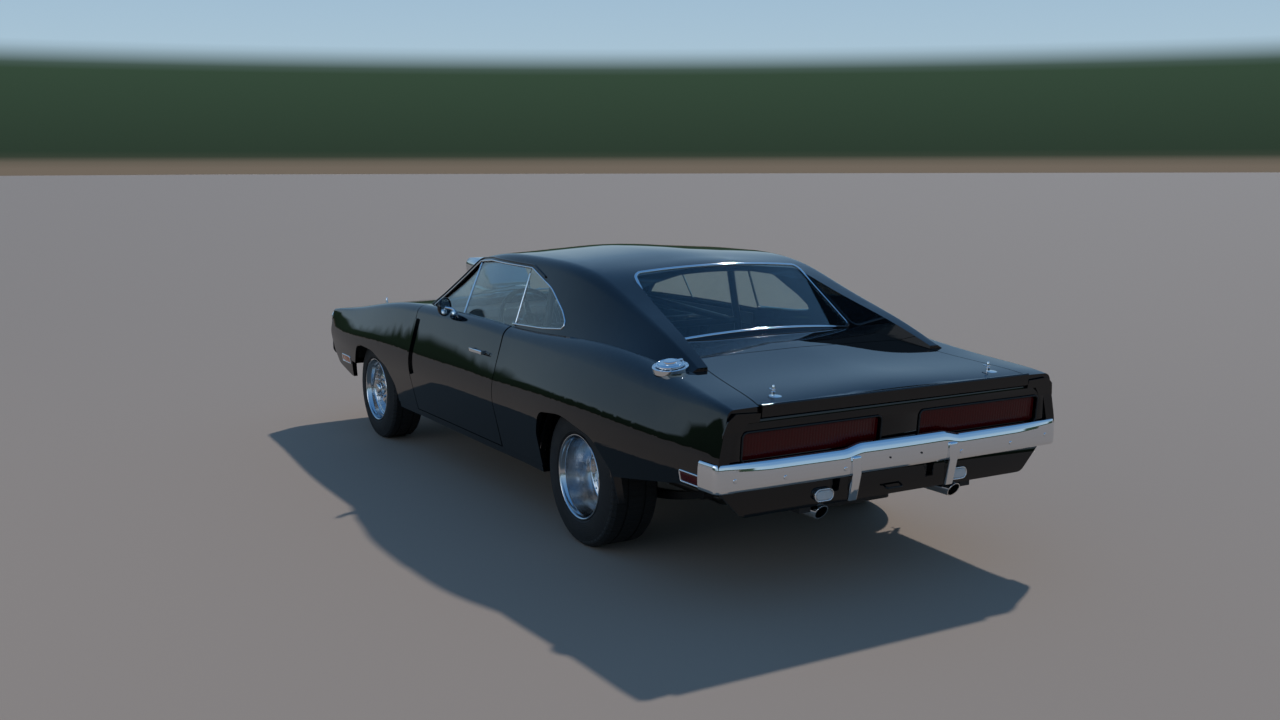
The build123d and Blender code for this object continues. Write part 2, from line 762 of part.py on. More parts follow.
def make_cowl_firewall():
    cowl = (BODY_OUTER - BODY_INNER) & block(
        DOOR_FRONT_X + 10, HOOD_REAR_X - PANEL_GAP / 2, -HOOD_HALF_WIDTH - 5, HOOD_HALF_WIDTH + 5, 900, 1100
    )
    cowl = cowl - shield_foot()
    wall = block(
        FIREWALL_X, FIREWALL_X + FIREWALL_THICKNESS, -HOOD_HALF_WIDTH, HOOD_HALF_WIDTH, CABIN_FLOOR_Z, 966
    )
    tunnel = block(FIREWALL_X - 5, FIREWALL_X + 40, -160, 160, 300, 480)
    shape = cowl + (wall - tunnel)
    back = FIREWALL_X + FIREWALL_THICKNESS
    post = block(850, back, HOOD_HALF_WIDTH, PILLAR_FOOT_Y, CABIN_FLOOR_Z + SEAT, PILLAR_FOOT_Z - SEAT)
    post = post + block(850, 866, PILLAR_FOOT_Y - 5, DOOR_INNER_Y - SEAT, 420, 900)
    post = post + block(
        FIREWALL_X,
        back,
        HOOD_HALF_WIDTH - 10,
        PILLAR_FOOT_Y,
        CABIN_FLOOR_Z + SEAT,
        PILLAR_FOOT_Z - SEAT,
    )
    for side in both(post):
        shape = shape + side
    return shape


def make_inner_fenders():
    wall = block(
        FIREWALL_X + FIREWALL_THICKNESS + SEAT,
        2420,
        FRONT_HOUSE_INNER_Y,
        FRONT_HOUSE_INNER_Y + 12,
        467,
        850,
    )
    tub = wheel_house(
        FRONT_AXLE_X, TYRE_FRONT_RADIUS, FRONT_HOUSE_RADIUS, FRONT_HOUSE_INNER_Y, 905, FRONT_HOUSE_OPEN
    )
    room = cylinder_y(FRONT_HOUSE_RADIUS - HOUSE_WALL, FRONT_AXLE_X, TYRE_FRONT_RADIUS, 480, 1000)
    arms = block(1590, 1762, 480, 520, 290, 505)
    apron = (wall - room) + tub - arms
    support = block(2420, 2440, -700, 700, 467, 800)
    window = block(2400, 2460, -330, 330, 480, 760)
    core = block(2425, 2435, -332, 332, 478, 762)
    support = support - window
    shape = support + core
    for side in both(apron):
        shape = shape + side
    shape = shape & body_loft(-50, -DECK_WALL - 6, 0)
    under_hood = body_loft(-QUARTER_WALL, -LID_WALL - SEAT, 200)
    for y in (-560, 560):
        shape = shape + (cylinder_z(14, 2430, y, 740, 900) & under_hood)
    return shape


def make_floor_pan():
    top = (
        (1019, 470),
        (860, CABIN_FLOOR_Z),
        (-960, CABIN_FLOOR_Z),
        (-1100, 520),
        (-1740, 560),
        (-1860, TRUNK_FLOOR_Z),
        (-2521.7, TRUNK_FLOOR_Z),
    )
    low = [(x, z - FLOOR_THICKNESS) for x, z in reversed(top)]
    corners = [(x, z, 0) for x, z in top] + [(x, z, 0) for x, z in low]
    pan = side_prism(corners, -699.7, 699.7)
    for side in both(block(-1725, -880, REAR_HOUSE_INNER_Y - 5, 900, 100, 700)):
        pan = pan - side
    hump = block(-1060, 1019, -150, 150, CABIN_FLOOR_Z - 20, 465)
    hump = fillet(hump.edges().filter_by(Axis.X).sort_by(Axis.Z)[-2:], 60)
    bore = block(-1130, 1050, -132, 132, 200, 447)
    bore = fillet(bore.edges().filter_by(Axis.X).sort_by(Axis.Z)[-2:], 45)
    return pan + hump - bore


def make_rocker_panels():
    sill = BODY_OUTER & block(
        REAR_ARCH[0][0] + 2, FRONT_ARCH[0][0] - 4, 700, 1000, 100, DOOR_BOTTOM_Z - PANEL_GAP
    )
    return both(sill)


def make_frame_rails():
    corners = (
        (2410, 420, 0), (2410, 350, 0), (1900, 300, 0), (1500, 300, 0), (1100, 240, 0), (-950, 240, 0),
        (-1090, 430, 0), (-1650, 470, 0), (-1860, 390, 0), (-2521.7, 390, 0), (-2521.7, 444.7, 0),
        (-1858, 444.7, 0), (-1738, 534.7, 0), (-1102, 494.7, 0), (-962, 299.7, 0), (1018, 299.7, 0),
        (1100, 330, 0), (1500, 390, 0), (1900, 390, 0),
    )
    rail = side_prism(corners, RAIL_INNER_Y, RAIL_OUTER_Y)
    for x in RAIL_JOINTS:
        rail = rail - block(x - SEAT / 2, x + SEAT / 2, RAIL_INNER_Y - 10, RAIL_OUTER_Y + 10, 100, 700)
    span = RAIL_INNER_Y - SEAT
    members = [
        block(1625, 1727, -span, span, 250, ENGINE_BOTTOM_Z - SEAT),
        block(-60, 20, -span, span, 256, 276),
        block(-1870, -1820, -span, span, 402, 444.7),
    ]
    return [*rail.solids(), *mirrored(rail).solids(), *members]


def make_engine_block():
    return block(
        ENGINE_BACK_X,
        ENGINE_FRONT_X,
        -ENGINE_HALF_WIDTH,
        ENGINE_HALF_WIDTH,
        ENGINE_BOTTOM_Z,
        ENGINE_TOP_Z,
    )


def make_supercharger():
    case = block(
        BLOWER_BACK_X,
        BLOWER_FRONT_X,
        -BLOWER_HALF_WIDTH,
        BLOWER_HALF_WIDTH,
        ENGINE_TOP_Z + SEAT,
        BLOWER_TOP_Z,
    )
    case = fillet(case.edges().filter_by(Axis.X).sort_by(Axis.Z)[-2:], 40)
    scoop = side_prism(
        (
            (SCOOP_BACK_X, BLOWER_TOP_Z - 5, 0),
            (SCOOP_BACK_X, BLOWER_TOP_Z + 30, 20),
            (SCOOP_BACK_X + 150, SCOOP_TOP_Z, 120),
            (SCOOP_FRONT_X, SCOOP_TOP_Z - 8, 10),
            (SCOOP_FRONT_X - 25, BLOWER_TOP_Z + 30, 10),
            (SCOOP_FRONT_X - 190, BLOWER_TOP_Z - 5, 0),
        ),
        -SCOOP_HALF_WIDTH,
        SCOOP_HALF_WIDTH,
    )
    outside = RectangleRounded(2 * SCOOP_HALF_WIDTH, 400, 60)
    scoop = scoop & extrude(cross_plane(SCOOP_FRONT_X + 10) * Pos(0, SCOOP_TOP_Z - 200) * outside, -700)
    inside = RectangleRounded(2 * SCOOP_HALF_WIDTH - 24, SCOOP_TOP_Z - BLOWER_TOP_Z - 70, 46)
    centre = Pos(0, (SCOOP_TOP_Z + BLOWER_TOP_Z + 26) / 2)
    mouth = extrude(cross_plane(SCOOP_FRONT_X + 10) * centre * inside, -140)
    return case + (scoop - mouth)


def make_exhaust():
    x, y, z = EXHAUST_TIP
    run = pipe(((960, 215, 200), (-1560, 215, 200), (-2000, y, z), (x, y, z)), EXHAUST_RADIUS, 120)
    muffler = block(-260, 260, 130, 300, 150, 250)
    muffler = fillet(muffler.edges().filter_by(Axis.X), 40)
    tail_hanger = block(-2300, -2280, y, RAIL_INNER_Y - SEAT, z + 10, z + 26)
    bore = cylinder_x(EXHAUST_RADIUS - 3, y, z, x - 10, x + 160)
    slant = side_prism(((x - 10, z + 40, 0), (x + 40, z - 40, 0), (x - 10, z - 40, 0)), 0, 1000)
    one = run + muffler + block(-300, -240, 205, 225, 190, 299.7) + tail_hanger - bore - slant
    return both(one)


def make_driveline():
    box = side_prism(
        ((1074, 440, 0), (1074, 260, 0), (900, 280, 0), (420, 300, 0), (420, 400, 0), (820, 425, 0)),
        -110,
        110,
    )
    shaft = cylinder_x(38, 0, TYRE_REAR_RADIUS, REAR_AXLE_X + 60, 470)
    axle = cylinder_y(42, REAR_AXLE_X, TYRE_REAR_RADIUS, -600, 600)
    pumpkin = Pos(REAR_AXLE_X, 0, TYRE_REAR_RADIUS) * Sphere(135)
    spindle = cylinder_y(SPINDLE_RADIUS, REAR_AXLE_X, TYRE_REAR_RADIUS, -752, 752)
    shape = box + shaft + axle + pumpkin + spindle
    for side in both(cylinder_y(130, REAR_AXLE_X, TYRE_REAR_RADIUS, 640, 688)):
        shape = shape + side
    outer = ThreePointArc((-700, 262), (REAR_AXLE_X, 225), (-1900, 330))
    inner = ThreePointArc((-700, 297), (REAR_AXLE_X, 262), (-1900, 365))
    ends = [Line(outer @ 0, inner @ 0), Line(outer @ 1, inner @ 1)]
    strip = Plane(origin=(0, 525, 0), x_dir=(1, 0, 0), z_dir=(0, -1, 0)) * make_face(
        [outer, inner, *ends],
    )
    leaf = extrude(strip, 55, dir=(0, 1, 0))
    leaf = leaf + cylinder_y(24, -700, 274, RAIL_OUTER_Y + SEAT, 580)
    leaf = leaf + cylinder_y(24, -1900, 348, 525, 580)
    leaf = leaf + block(-1920, -1880, RAIL_OUTER_Y + SEAT, 580, 335, 430)
    leaf = leaf + block(REAR_AXLE_X - 50, REAR_AXLE_X + 50, 520, 585, 240, 360)
    for side in both(leaf):
        shape = shape + side
    return shape


def make_front_suspension():
    lower = plan_prism(
        ((1716, RAIL_OUTER_Y - 2), (1640, RAIL_OUTER_Y - 2), (1655, 700), (1697, 700)),
        216,
        246,
    )
    foot = block(1640, 1716, RAIL_OUTER_Y + SEAT, RAIL_OUTER_Y + 30, 216, 330)
    upper = plan_prism(
        ((1740, RAIL_OUTER_Y + SEAT), (1612, RAIL_OUTER_Y + SEAT), (1655, 700), (1697, 700)),
        455,
        480,
    )
    post = block(1640, 1716, RAIL_OUTER_Y + SEAT, RAIL_OUTER_Y + 16, 300, 480)
    arm = (lower & block(1600, 1750, RAIL_OUTER_Y + SEAT, 720, 200, 260)) + foot + upper + post
    return both(arm)


def make_knuckle():
    x, z = FRONT_AXLE_X, TYRE_FRONT_RADIUS
    post = cylinder_z(24, x, KINGPIN_Y - 5, 246.3, 454.7)
    spindle = cylinder_y(SPINDLE_RADIUS, x, z, KINGPIN_Y - 5, 868)
    plate = cylinder_y(132, x, z, 730, 765)
    return post + spindle + plate


def make_rim(axle_x, axle_z, lip_y, width, dish, spindle_end):
    """Left wheel: dished barrel with a centre disc, turned about the axle."""
    inner_y = lip_y - width
    disc_y = lip_y - dish
    barrel = cylinder_y(RIM_SEAT_RADIUS, axle_x, axle_z, inner_y + 8, lip_y - 8)
    barrel = barrel - cylinder_y(RIM_SEAT_RADIUS - RIM_WALL, axle_x, axle_z, inner_y, lip_y)
    for y in (inner_y, lip_y - RIM_FLANGE_WIDTH):
        ring = cylinder_y(RIM_FLANGE_RADIUS, axle_x, axle_z, y, y + RIM_FLANGE_WIDTH)
        barrel = barrel + (ring - cylinder_y(RIM_SEAT_RADIUS - RIM_WALL, axle_x, axle_z, y - 5, y + 15))
    disc = cylinder_y(RIM_SEAT_RADIUS - RIM_WALL + 1, axle_x, axle_z, disc_y - 12, disc_y)
    hub = cylinder_y(HUB_RADIUS, axle_x, axle_z, disc_y - 30, disc_y + 24)
    bore = cylinder_y(SPINDLE_RADIUS + SPINDLE_CLEARANCE, axle_x, axle_z, disc_y - 60, spindle_end)
    step = 72.0
    wheel = barrel + disc + hub - bore
    for index in range(5):
        angle = math.radians(90 + step * index)
        lug = cylinder_y(
            LUG_RADIUS,
            axle_x + LUG_CIRCLE * math.cos(angle),
            axle_z + LUG_CIRCLE * math.sin(angle),
            disc_y - 1,
            disc_y + 20,
        )
        wheel = wheel + lug
    return wheel


def make_tyre(axle_x, axle_z, radius, width, lip_y):
    """Tyre ring with a rounded shoulder, seated over the rim."""
    outer_y = lip_y + TYRE_BULGE
    inner_y = outer_y - width
    bead = RIM_SEAT_RADIUS + SEAT
    above_flange = RIM_FLANGE_RADIUS + 1.0
    half = width / 2
    inside = half - TYRE_BULGE - RIM_FLANGE_WIDTH - 1.0
    tread = half - 18
    points = (
        (bead, -inside),
        (above_flange, -inside),
        (above_flange + 30, -half),
        (radius - 55, -half + 4),
        (radius, -tread),
        (radius, tread),
        (radius - 55, half - 4),
        (above_flange + 30, half),
        (above_flange, inside),
        (bead, inside),
    )
    radii = [0, 0, 40, 50, 22, 22, 50, 40, 0, 0]
    outline = make_face(FilletPolyline(*points, radius=radii, close=True))
    ring = revolve(outline, Axis.Y)
    return Pos(axle_x, (outer_y + inner_y) / 2, axle_z) * ring


def make_fuel_tank():
    tank = block(-2240, -1880, -275, 275, 300, 444.7)
    return fillet(tank.edges().filter_by(Axis.Z), 40)


def make_dashboard():
    dash = side_prism(
        (
            (1019.7, 940, 0),
            (700, 945, 30),
            (640, 900, 20),
            (660, 760, 20),
            (800, 720, 0),
            (1019.7, 760, 0),
        ),
        -694.7,
        694.7,
    )
    x, y, z = STEERING_WHEEL_PLACE
    rake = math.radians(COLUMN_RAKE)
    start = Vector(x, y, z) + Vector(math.cos(rake), 0, -math.sin(rake)) * (32 + SEAT)
    end = Vector(x, y, z) + Vector(math.cos(rake), 0, -math.sin(rake)) * 420
    column = sweep(Plane(origin=start, z_dir=end - start) * Circle(26), path=Line(start, end))
    return (dash + column) - ahead_of_shield()


def ahead_of_shield():
    """Space taken by the windshield and what lies outside it, over the dashboard."""
    return bowed_slab(SHIELD_PLANE, SHIELD_BOW_RADIUS, 1200, 700, 900, -40, 400)


def make_steering_wheel():
    x, y, z = STEERING_WHEEL_PLACE
    rake = math.radians(COLUMN_RAKE)
    axis = Vector(-math.cos(rake), 0, math.sin(rake))
    plane = Plane(origin=(x, y, z), x_dir=(0, 1, 0), z_dir=axis)
    rim = Torus(STEERING_WHEEL_RADIUS, 14)
    hub = Cylinder(42, 44)
    spokes = Box(2 * STEERING_WHEEL_RADIUS, 34, 8)
    spoke = Pos(0, -STEERING_WHEEL_RADIUS / 2, 0) * Box(34, STEERING_WHEEL_RADIUS, 8)
    return plane * (Pos(0, 0, 12) * (rim + spokes + spoke) + Pos(0, 0, -10) * hub)


def make_seats():
    seats = []
    for side in (1, -1):
        base = side_prism(
            ((330, 325.3, 0), (330, 500, 60), (-170, 470, 60), (-170, 325.3, 0)),
            side * 365 - 205,
            side * 365 + 205,
        )
        back = side_prism(
            ((-120, 480, 0), (-190, 400, 0), (-305, 960, 30), (-230, 990, 30)),
            side * 365 - 200,
            side * 365 + 200,
        )
        seats.append(base + back)
    bench = side_prism(((-620, 325.3, 0), (-620, 560, 60), (-960, 560, 0), (-960, 325.3, 0)), -560, 560)
    rest = side_prism(
        ((-940, 540, 0), (-1040, 925, 30), (-1110, 925, 0), (-1102, 560, 0), (-955, 400, 0)),
        -560,
        560,
    )
    seats.append((bench + rest) - block(-1110, -600, -158, 158, 300, 474))
    return seats


def make_roll_cage():
    foot_z = CABIN_FLOOR_Z + SEAT
    hoop = pipe(
        (
            (-430, 640, foot_z),
            (-430, 640, 900),
            (-430, 570, 1290),
            (-430, -570, 1290),
            (-430, -640, 900),
            (-430, -640, foot_z),
        ),
        22,
        90,
    )
    bar = cylinder_y(20, -430, 930, -635, 635)
    diagonal = pipe(((-430, 545, 1275), (-430, 10, 1100), (-430, -560, 940)), 20, 40)
    return hoop + bar + diagonal


def make_filler():
    x, y, z = FILLER_PLACE
    tilt = Rot(-8, -6, 0)
    neck = Pos(0, 0, -24) * Cylinder(62, 52)
    flange = Pos(0, 0, 5) * Cylinder(FILLER_RADIUS, 6)
    lid = Pos(0, 0, 15.5) * Cylinder(66, 13.6)
    knob = Pos(0, 0, 27) * Cylinder(30, 12)
    hole = Pos(0, 0, -24) * Cylinder(62 + SEAT, 120)
    place = Pos(x, y, z)
    pocket = Pos(0, 0, 40) * Cylinder(FILLER_RADIUS + 2, 100) + hole
    base = place * tilt * (neck + flange)
    cap = place * tilt * (lid + knob)
    return base, cap, place * tilt * hole, place * tilt * pocket


def make_handle():
    bar = block(-246, -80, 938, 950, 817, 839)
    bar = fillet(bar.edges().filter_by(Axis.X), 5)
    posts = []
    for x in HANDLE_POSTS:
        posts.append(block(x, x + 18, 912, 940, 820, 836))
    return bar + posts[0] + posts[1]


def make_mirror():
    x, y, z = MIRROR_BASE
    base = cylinder_z(MIRROR_BASE_RADIUS, x, y, z, z + 33)
    stalk = pipe(((x, y, z + 28), (x + 8, y + 18, z + 38), MIRROR_HEAD), 9, 12)
    head = Pos(MIRROR_HEAD) * Rot(0, 0, MIRROR_TURN) * Rot(0, 90, 0) * Cylinder(MIRROR_HEAD_RADIUS, 34)
    head = fillet(head.edges(), 8)
    return base + stalk + head


def write(name, shape):
    """Write one node, as one solid or as several that don't touch."""
    shapes = shape if isinstance(shape, (list, tuple)) else [shape]
    solids = []
    for item in shapes:
        solids += item.solids()
    node = Compound(solids) if len(solids) > 1 else solids[0]
    node.label = name
    export_step(node, os.path.join("parts", name + ".step"))


def main():
    os.makedirs("parts", exist_ok=True)
    filler_base, filler_cap, filler_hole, filler_pocket = make_filler()
    roof = make_roof_panel(filler_pocket)
    write("roof_panel", roof)
    quarter = make_quarter_panel()
    write("quarter_panels", [quarter - filler_hole, mirrored(quarter)])
    fender = make_front_fender()
    write("front_fenders", both(fender))
    write("dutchman_panel", make_dutchman_panel())
    write("rocker_panels", make_rocker_panels())
    write("floor_pan", make_floor_pan())
    write("frame_rails", make_frame_rails())
    write("cowl_firewall", make_cowl_firewall())
    write("inner_fenders", make_inner_fenders())
    write("tail_panel", make_tail_panel())
    write("valances", make_valances())
    write("front_bumper", make_front_bumper())
    write("rear_bumper", make_rear_bumper())
    write("grille", make_grille())
    write("tail_lamps", make_tail_lamps())
    write("side_markers", make_side_markers())
    strip = make_glass_strip()
    write("fixed_windows", make_windows(strip))
    write("engine_block", make_engine_block())
    write("supercharger", make_supercharger())
    write("exhaust_system", make_exhaust())
    write("driveline", make_driveline())
    write("front_suspension", make_front_suspension())
    write("fuel_tank", make_fuel_tank())
    write("dashboard", make_dashboard())
    write("seats", make_seats())
    write("roll_cage", make_roll_cage())
    write("fuel_filler", filler_base)
    write("filler_cap", filler_cap)
    write("hood", make_hood())
    write("trunk_lid", make_trunk_lid())
    write("steering_wheel", make_steering_wheel())
    door = make_door()
    x, y, z = MIRROR_BASE
    mirror_seat = cylinder_z(MIRROR_BASE_RADIUS + SEAT, x, y, z - SEAT, z + 100)
    glass = strip & side_prism(DOOR_GLASS, 600, 1000)
    handle = make_handle()
    write("door_left", door - mirror_seat)
    write("door_right", mirrored(door))
    write("door_glass_left", glass)
    write("door_glass_right", mirrored(glass))
    write("door_handle_left", handle)
    write("door_handle_right", mirrored(handle))
    write("door_mirror", make_mirror())
    knuckle = make_knuckle()
    write("knuckle_left", knuckle)
    write("knuckle_right", mirrored(knuckle))
    wheels = (
        (
            "front",
            FRONT_AXLE_X,
            TYRE_FRONT_RADIUS,
            TYRE_FRONT_WIDTH,
            RIM_LIP_Y_FRONT,
            DISH_FRONT,
            870.0,
        ),
        ("rear", REAR_AXLE_X, TYRE_REAR_RADIUS, TYRE_REAR_WIDTH, RIM_LIP_Y_REAR, DISH_REAR, 755.0),
    )
    for place, x, radius, width, lip, dish, spindle_end in wheels:
        rim = make_rim(x, radius, lip, width - 2 * TYRE_BULGE, dish, spindle_end)
        tyre = make_tyre(x, radius, radius, width, lip)
        for side, turn in (("left", False), ("right", True)):
            write("rim_%s_%s" % (place, side), mirrored(rim) if turn else rim)
            write("tyre_%s_%s" % (place, side), mirrored(tyre) if turn else tyre)


main()
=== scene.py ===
# %% [markdown]
# # A black two-door fastback
#
# This lesson dresses a finished CAD model of a large black fastback coupe. The CAD gives
# every size and every joint. Here each visible surface gets the look of the real thing:
# deep black paint, chrome, polished wheels, smoked lamps and glass.
#
# The script opens the CAD frame first.

import math

import bpy
import numpy as np
from mathutils import Matrix, Vector
from mathutils.bvhtree import BVHTree


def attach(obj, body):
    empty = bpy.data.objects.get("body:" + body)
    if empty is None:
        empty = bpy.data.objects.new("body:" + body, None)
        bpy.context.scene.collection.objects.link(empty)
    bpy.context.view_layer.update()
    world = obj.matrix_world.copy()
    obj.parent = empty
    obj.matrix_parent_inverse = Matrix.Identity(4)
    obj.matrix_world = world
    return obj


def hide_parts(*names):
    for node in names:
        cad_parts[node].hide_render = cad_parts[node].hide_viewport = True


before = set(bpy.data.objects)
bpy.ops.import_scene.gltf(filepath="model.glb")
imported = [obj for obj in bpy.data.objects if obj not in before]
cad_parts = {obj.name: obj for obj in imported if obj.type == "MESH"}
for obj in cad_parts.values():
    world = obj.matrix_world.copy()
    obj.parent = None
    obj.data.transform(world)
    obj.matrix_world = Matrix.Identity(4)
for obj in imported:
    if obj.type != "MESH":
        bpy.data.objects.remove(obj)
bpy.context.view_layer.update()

# %% [markdown]
# ## Small tools
#
# Blender's operators act on whatever is selected, so each step starts by selecting one
# piece only. A finished piece has its modifiers applied and sits at the origin with its
# place in its mesh, and rides on one body of the CAD.

# %% Selecting and finishing
MM = 0.001


def choose(piece):
    """Leave edit mode and make this the only selected piece."""
    if bpy.context.object and bpy.context.object.mode != "OBJECT":
        bpy.ops.object.mode_set(mode="OBJECT")
    bpy.ops.object.select_all(action="DESELECT")
    if piece:
        piece.select_set(True)
        bpy.context.view_layer.objects.active = piece
    return piece


def settle(piece):
    """Turn a curve into a mesh, apply its modifiers and put its place into the mesh."""
    choose(piece)
    if piece.type != "MESH":
        bpy.ops.object.convert(target="MESH")
    for modifier in list(piece.modifiers):
        bpy.ops.object.modifier_apply(modifier=modifier.name)
    bpy.ops.object.transform_apply(location=True, rotation=True, scale=True)
    return piece


def edit_all(piece):
    """Enter edit mode with everything in a piece selected."""
    choose(piece)
    bpy.ops.object.mode_set(mode="EDIT")
    bpy.ops.mesh.select_all(action="SELECT")


def shaded(piece, degrees):
    """Smooth shading that keeps the edges sharper than an angle."""
    choose(piece)
    bpy.ops.object.shade_smooth_by_angle(angle=math.radians(degrees))
    return piece


def cleaned(piece, weld=0.0, fill=False):
    """Weld the points nearer than a distance, fill open ends, and turn the normals outwards."""
    edit_all(piece)
    if weld:
        bpy.ops.mesh.remove_doubles(threshold=weld)
    if fill:
        bpy.ops.mesh.fill_holes(sides=0)
        bpy.ops.mesh.select_all(action="SELECT")
    bpy.ops.mesh.normals_make_consistent(inside=False)
    bpy.ops.object.mode_set(mode="OBJECT")
    return piece


def tie(piece, body, replaces):
    """Let a piece ride on a body, in place of CAD nodes."""
    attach(piece, body)
    if replaces:
        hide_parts(*replaces)


def finish(piece, name, material, replaces=(), body="body"):
    """Name a piece or several joined, paint it and tie it to its body."""
    piece = settle(joined(piece) if isinstance(piece, list) else piece)
    piece.name = name
    piece.data.materials.clear()
    piece.data.materials.append(material)
    tie(piece, body, replaces)
    return piece


def made(shape, **settings):
    """One of Blender's own shapes, settled."""
    choose(None)
    shape(**settings)
    return settle(bpy.context.object)


def pick_faces(piece, test):
    """Enter edit mode with the faces selected whose centre and normal pass a test."""
    choose(piece)
    bpy.ops.object.mode_set(mode="EDIT")
    bpy.ops.mesh.select_mode(type="FACE")
    bpy.ops.mesh.select_all(action="DESELECT")
    bpy.ops.object.mode_set(mode="OBJECT")
    for face in piece.data.polygons:
        face.select = bool(test(face.center, face.normal))
    bpy.ops.object.mode_set(mode="EDIT")


def add_modifier(piece, kind, **settings):
    modifier = piece.modifiers.new(kind.title(), kind)
    for key, value in settings.items():
        setattr(modifier, key, value)


def joined(pieces):
    """Join several meshes into the first."""
    choose(pieces[0])
    for piece in pieces:
        piece.select_set(True)
    bpy.ops.object.join()
    return pieces[0]


def twin(piece, name):
    """The same piece on the other side of the car, with its own mesh."""
    choose(piece)
    bpy.ops.object.duplicate()
    copy = bpy.context.object
    bpy.ops.transform.mirror(
        orient_type="GLOBAL", constraint_axis=(False, True, False), center_override=(0, 0, 0)
    )
    bpy.ops.object.transform_apply(location=True, rotation=True, scale=True)
    copy.name = name
    return cleaned(copy)


# %% [markdown]
# ## Colours and nodes
#
# Colours are written as sRGB hex, as a paint chart gives them, and one function turns
# them linear. One function adds a shader node with its settings and its links.

# %% Colour and node helpers
def colour(text):
    """Linear RGBA from an sRGB hex colour."""
    parts = [int(text[i : i + 2], 16) / 255 for i in (1, 3, 5)]
    linear = [c / 12.92 if c <= 0.04045 else ((c + 0.055) / 1.055) ** 2.4 for c in parts]
    return (*linear, 1.0)


def add_node(tree, kind, links=None, inputs=None, **settings):
    """Add a shader node, set its values, and link its inputs from other nodes' outputs."""
    node = tree.nodes.new(kind)
    for key, value in settings.items():
        setattr(node, key, value)
    for key, value in (inputs or {}).items():
        node.inputs[key].default_value = value
    for key, source in (links or {}).items():
        tree.links.new(source, node.inputs[key])
    return node


def new_material(name, slot, base, roughness, metallic=0.0, **more):
    """A material with one Principled shader, and its node tree for patterns."""
    material = bpy.data.materials.new(name)
    material.use_nodes = True
    tree = material.node_tree
    shader = tree.nodes["Principled BSDF"]
    shader.inputs["Base Color"].default_value = colour(base)
    shader.inputs["Roughness"].default_value = roughness
    shader.inputs["Metallic"].default_value = metallic
    for key, value in more.items():
        shader.inputs[key.replace("_", " ")].default_value = value
    return material, tree, shader


def noise(tree, scale, detail):
    """Noise in Object coordinates, in metres."""
    where = add_node(tree, "ShaderNodeTexCoord").outputs["Object"]
    values = {"Scale": scale, "Detail": detail}
    return add_node(tree, "ShaderNodeTexNoise", {"Vector": where}, values).outputs["Fac"]


def wave(tree, scale, direction, where=None, distortion=0.0):
    """Straight bands across one direction."""
    where = where or add_node(tree, "ShaderNodeTexCoord").outputs["Object"]
    values = {"Scale": scale, "Distortion": distortion}
    bands = add_node(tree, "ShaderNodeTexWave", {"Vector": where}, values, bands_direction=direction)
    return bands.outputs["Fac"]


def ranged(tree, value, low, high, start=0.0, stop=1.0):
    """The value's run from start to stop, stretched to run from low to high."""
    limits = {"From Min": start, "From Max": stop, "To Min": low, "To Max": high}
    return add_node(tree, "ShaderNodeMapRange", {"Value": value}, limits).outputs[0]


def calculated(tree, operation, *terms):
    """Arithmetic on two terms, each a number or another node's output."""
    numbers = {k: term for k, term in enumerate(terms) if isinstance(term, float)}
    links = {k: term for k, term in enumerate(terms) if k not in numbers}
    return add_node(tree, "ShaderNodeMath", links, numbers, operation=operation).outputs[0]


def bumped(tree, shader, height, strength, distance):
    values = {"Strength": strength, "Distance": distance}
    relief = add_node(tree, "ShaderNodeBump", {"Height": height}, values)
    tree.links.new(relief.outputs[0], shader.inputs["Normal"])


# %% [markdown]
# ## Gloss black paint
#
# Two-stage urethane is a black base under a clear coat that is sanded and buffed. What
# the eye sees is almost only reflection, with a trace of orange peel, ripples about 6 mm
# apart, and a thin film of road dust that dulls the lower edge of the body.

# %% Paint
paint, tree, shader = new_material("gloss_black_urethane", "black_paint", "#040406", 0.02, IOR=1.52)
bumped(tree, shader, noise(tree, 160.0, 1.0), 0.008, 0.001)
where = add_node(tree, "ShaderNodeTexCoord").outputs["Object"]
height = add_node(tree, "ShaderNodeSeparateXYZ", {"Vector": where})
# dust starts 0.55 m above the ground and thickens down to 0.25 m
dust_height = ranged(tree, height.outputs["Z"], 0.22, 0.0, 0.25, 0.55)
dust = calculated(tree, "MULTIPLY", dust_height, noise(tree, 9.0, 5.0))
tree.links.new(calculated(tree, "ADD", dust, 0.015), shader.inputs["Roughness"])

# %% [markdown]
# ## Bright metals
#
# Chrome plate is a mirror with very faint waves left by the polishing wheel. Polished
# aluminium is a little greyer and blurs more. Both keep the metal's default IOR.

# %% Bright metals
chrome, tree, shader = new_material("chrome_plate", "chrome", "#E9ECEF", 0.05, 1.0)
tree.links.new(ranged(tree, noise(tree, 30.0, 2.0), 0.02, 0.09), shader.inputs["Roughness"])
polished, tree, shader = new_material("polished_aluminium", "polished_aluminium", "#D5D7D9", 0.14, 1.0)
tree.links.new(ranged(tree, noise(tree, 60.0, 4.0), 0.08, 0.22), shader.inputs["Roughness"])

# %% [markdown]
# ## Dark finishes
#
# Under the car everything is sprayed satin black and then gathers brown dust. Tyre rubber
# is a dull, slightly brown black. The cabin is grained black vinyl, textured plastic and
# looped carpet. Door seals and hoses are smooth rubber, the engine is painted cast iron, the
# headers are bare steel gone brown, and the tubes have a satin paint that shows their round.

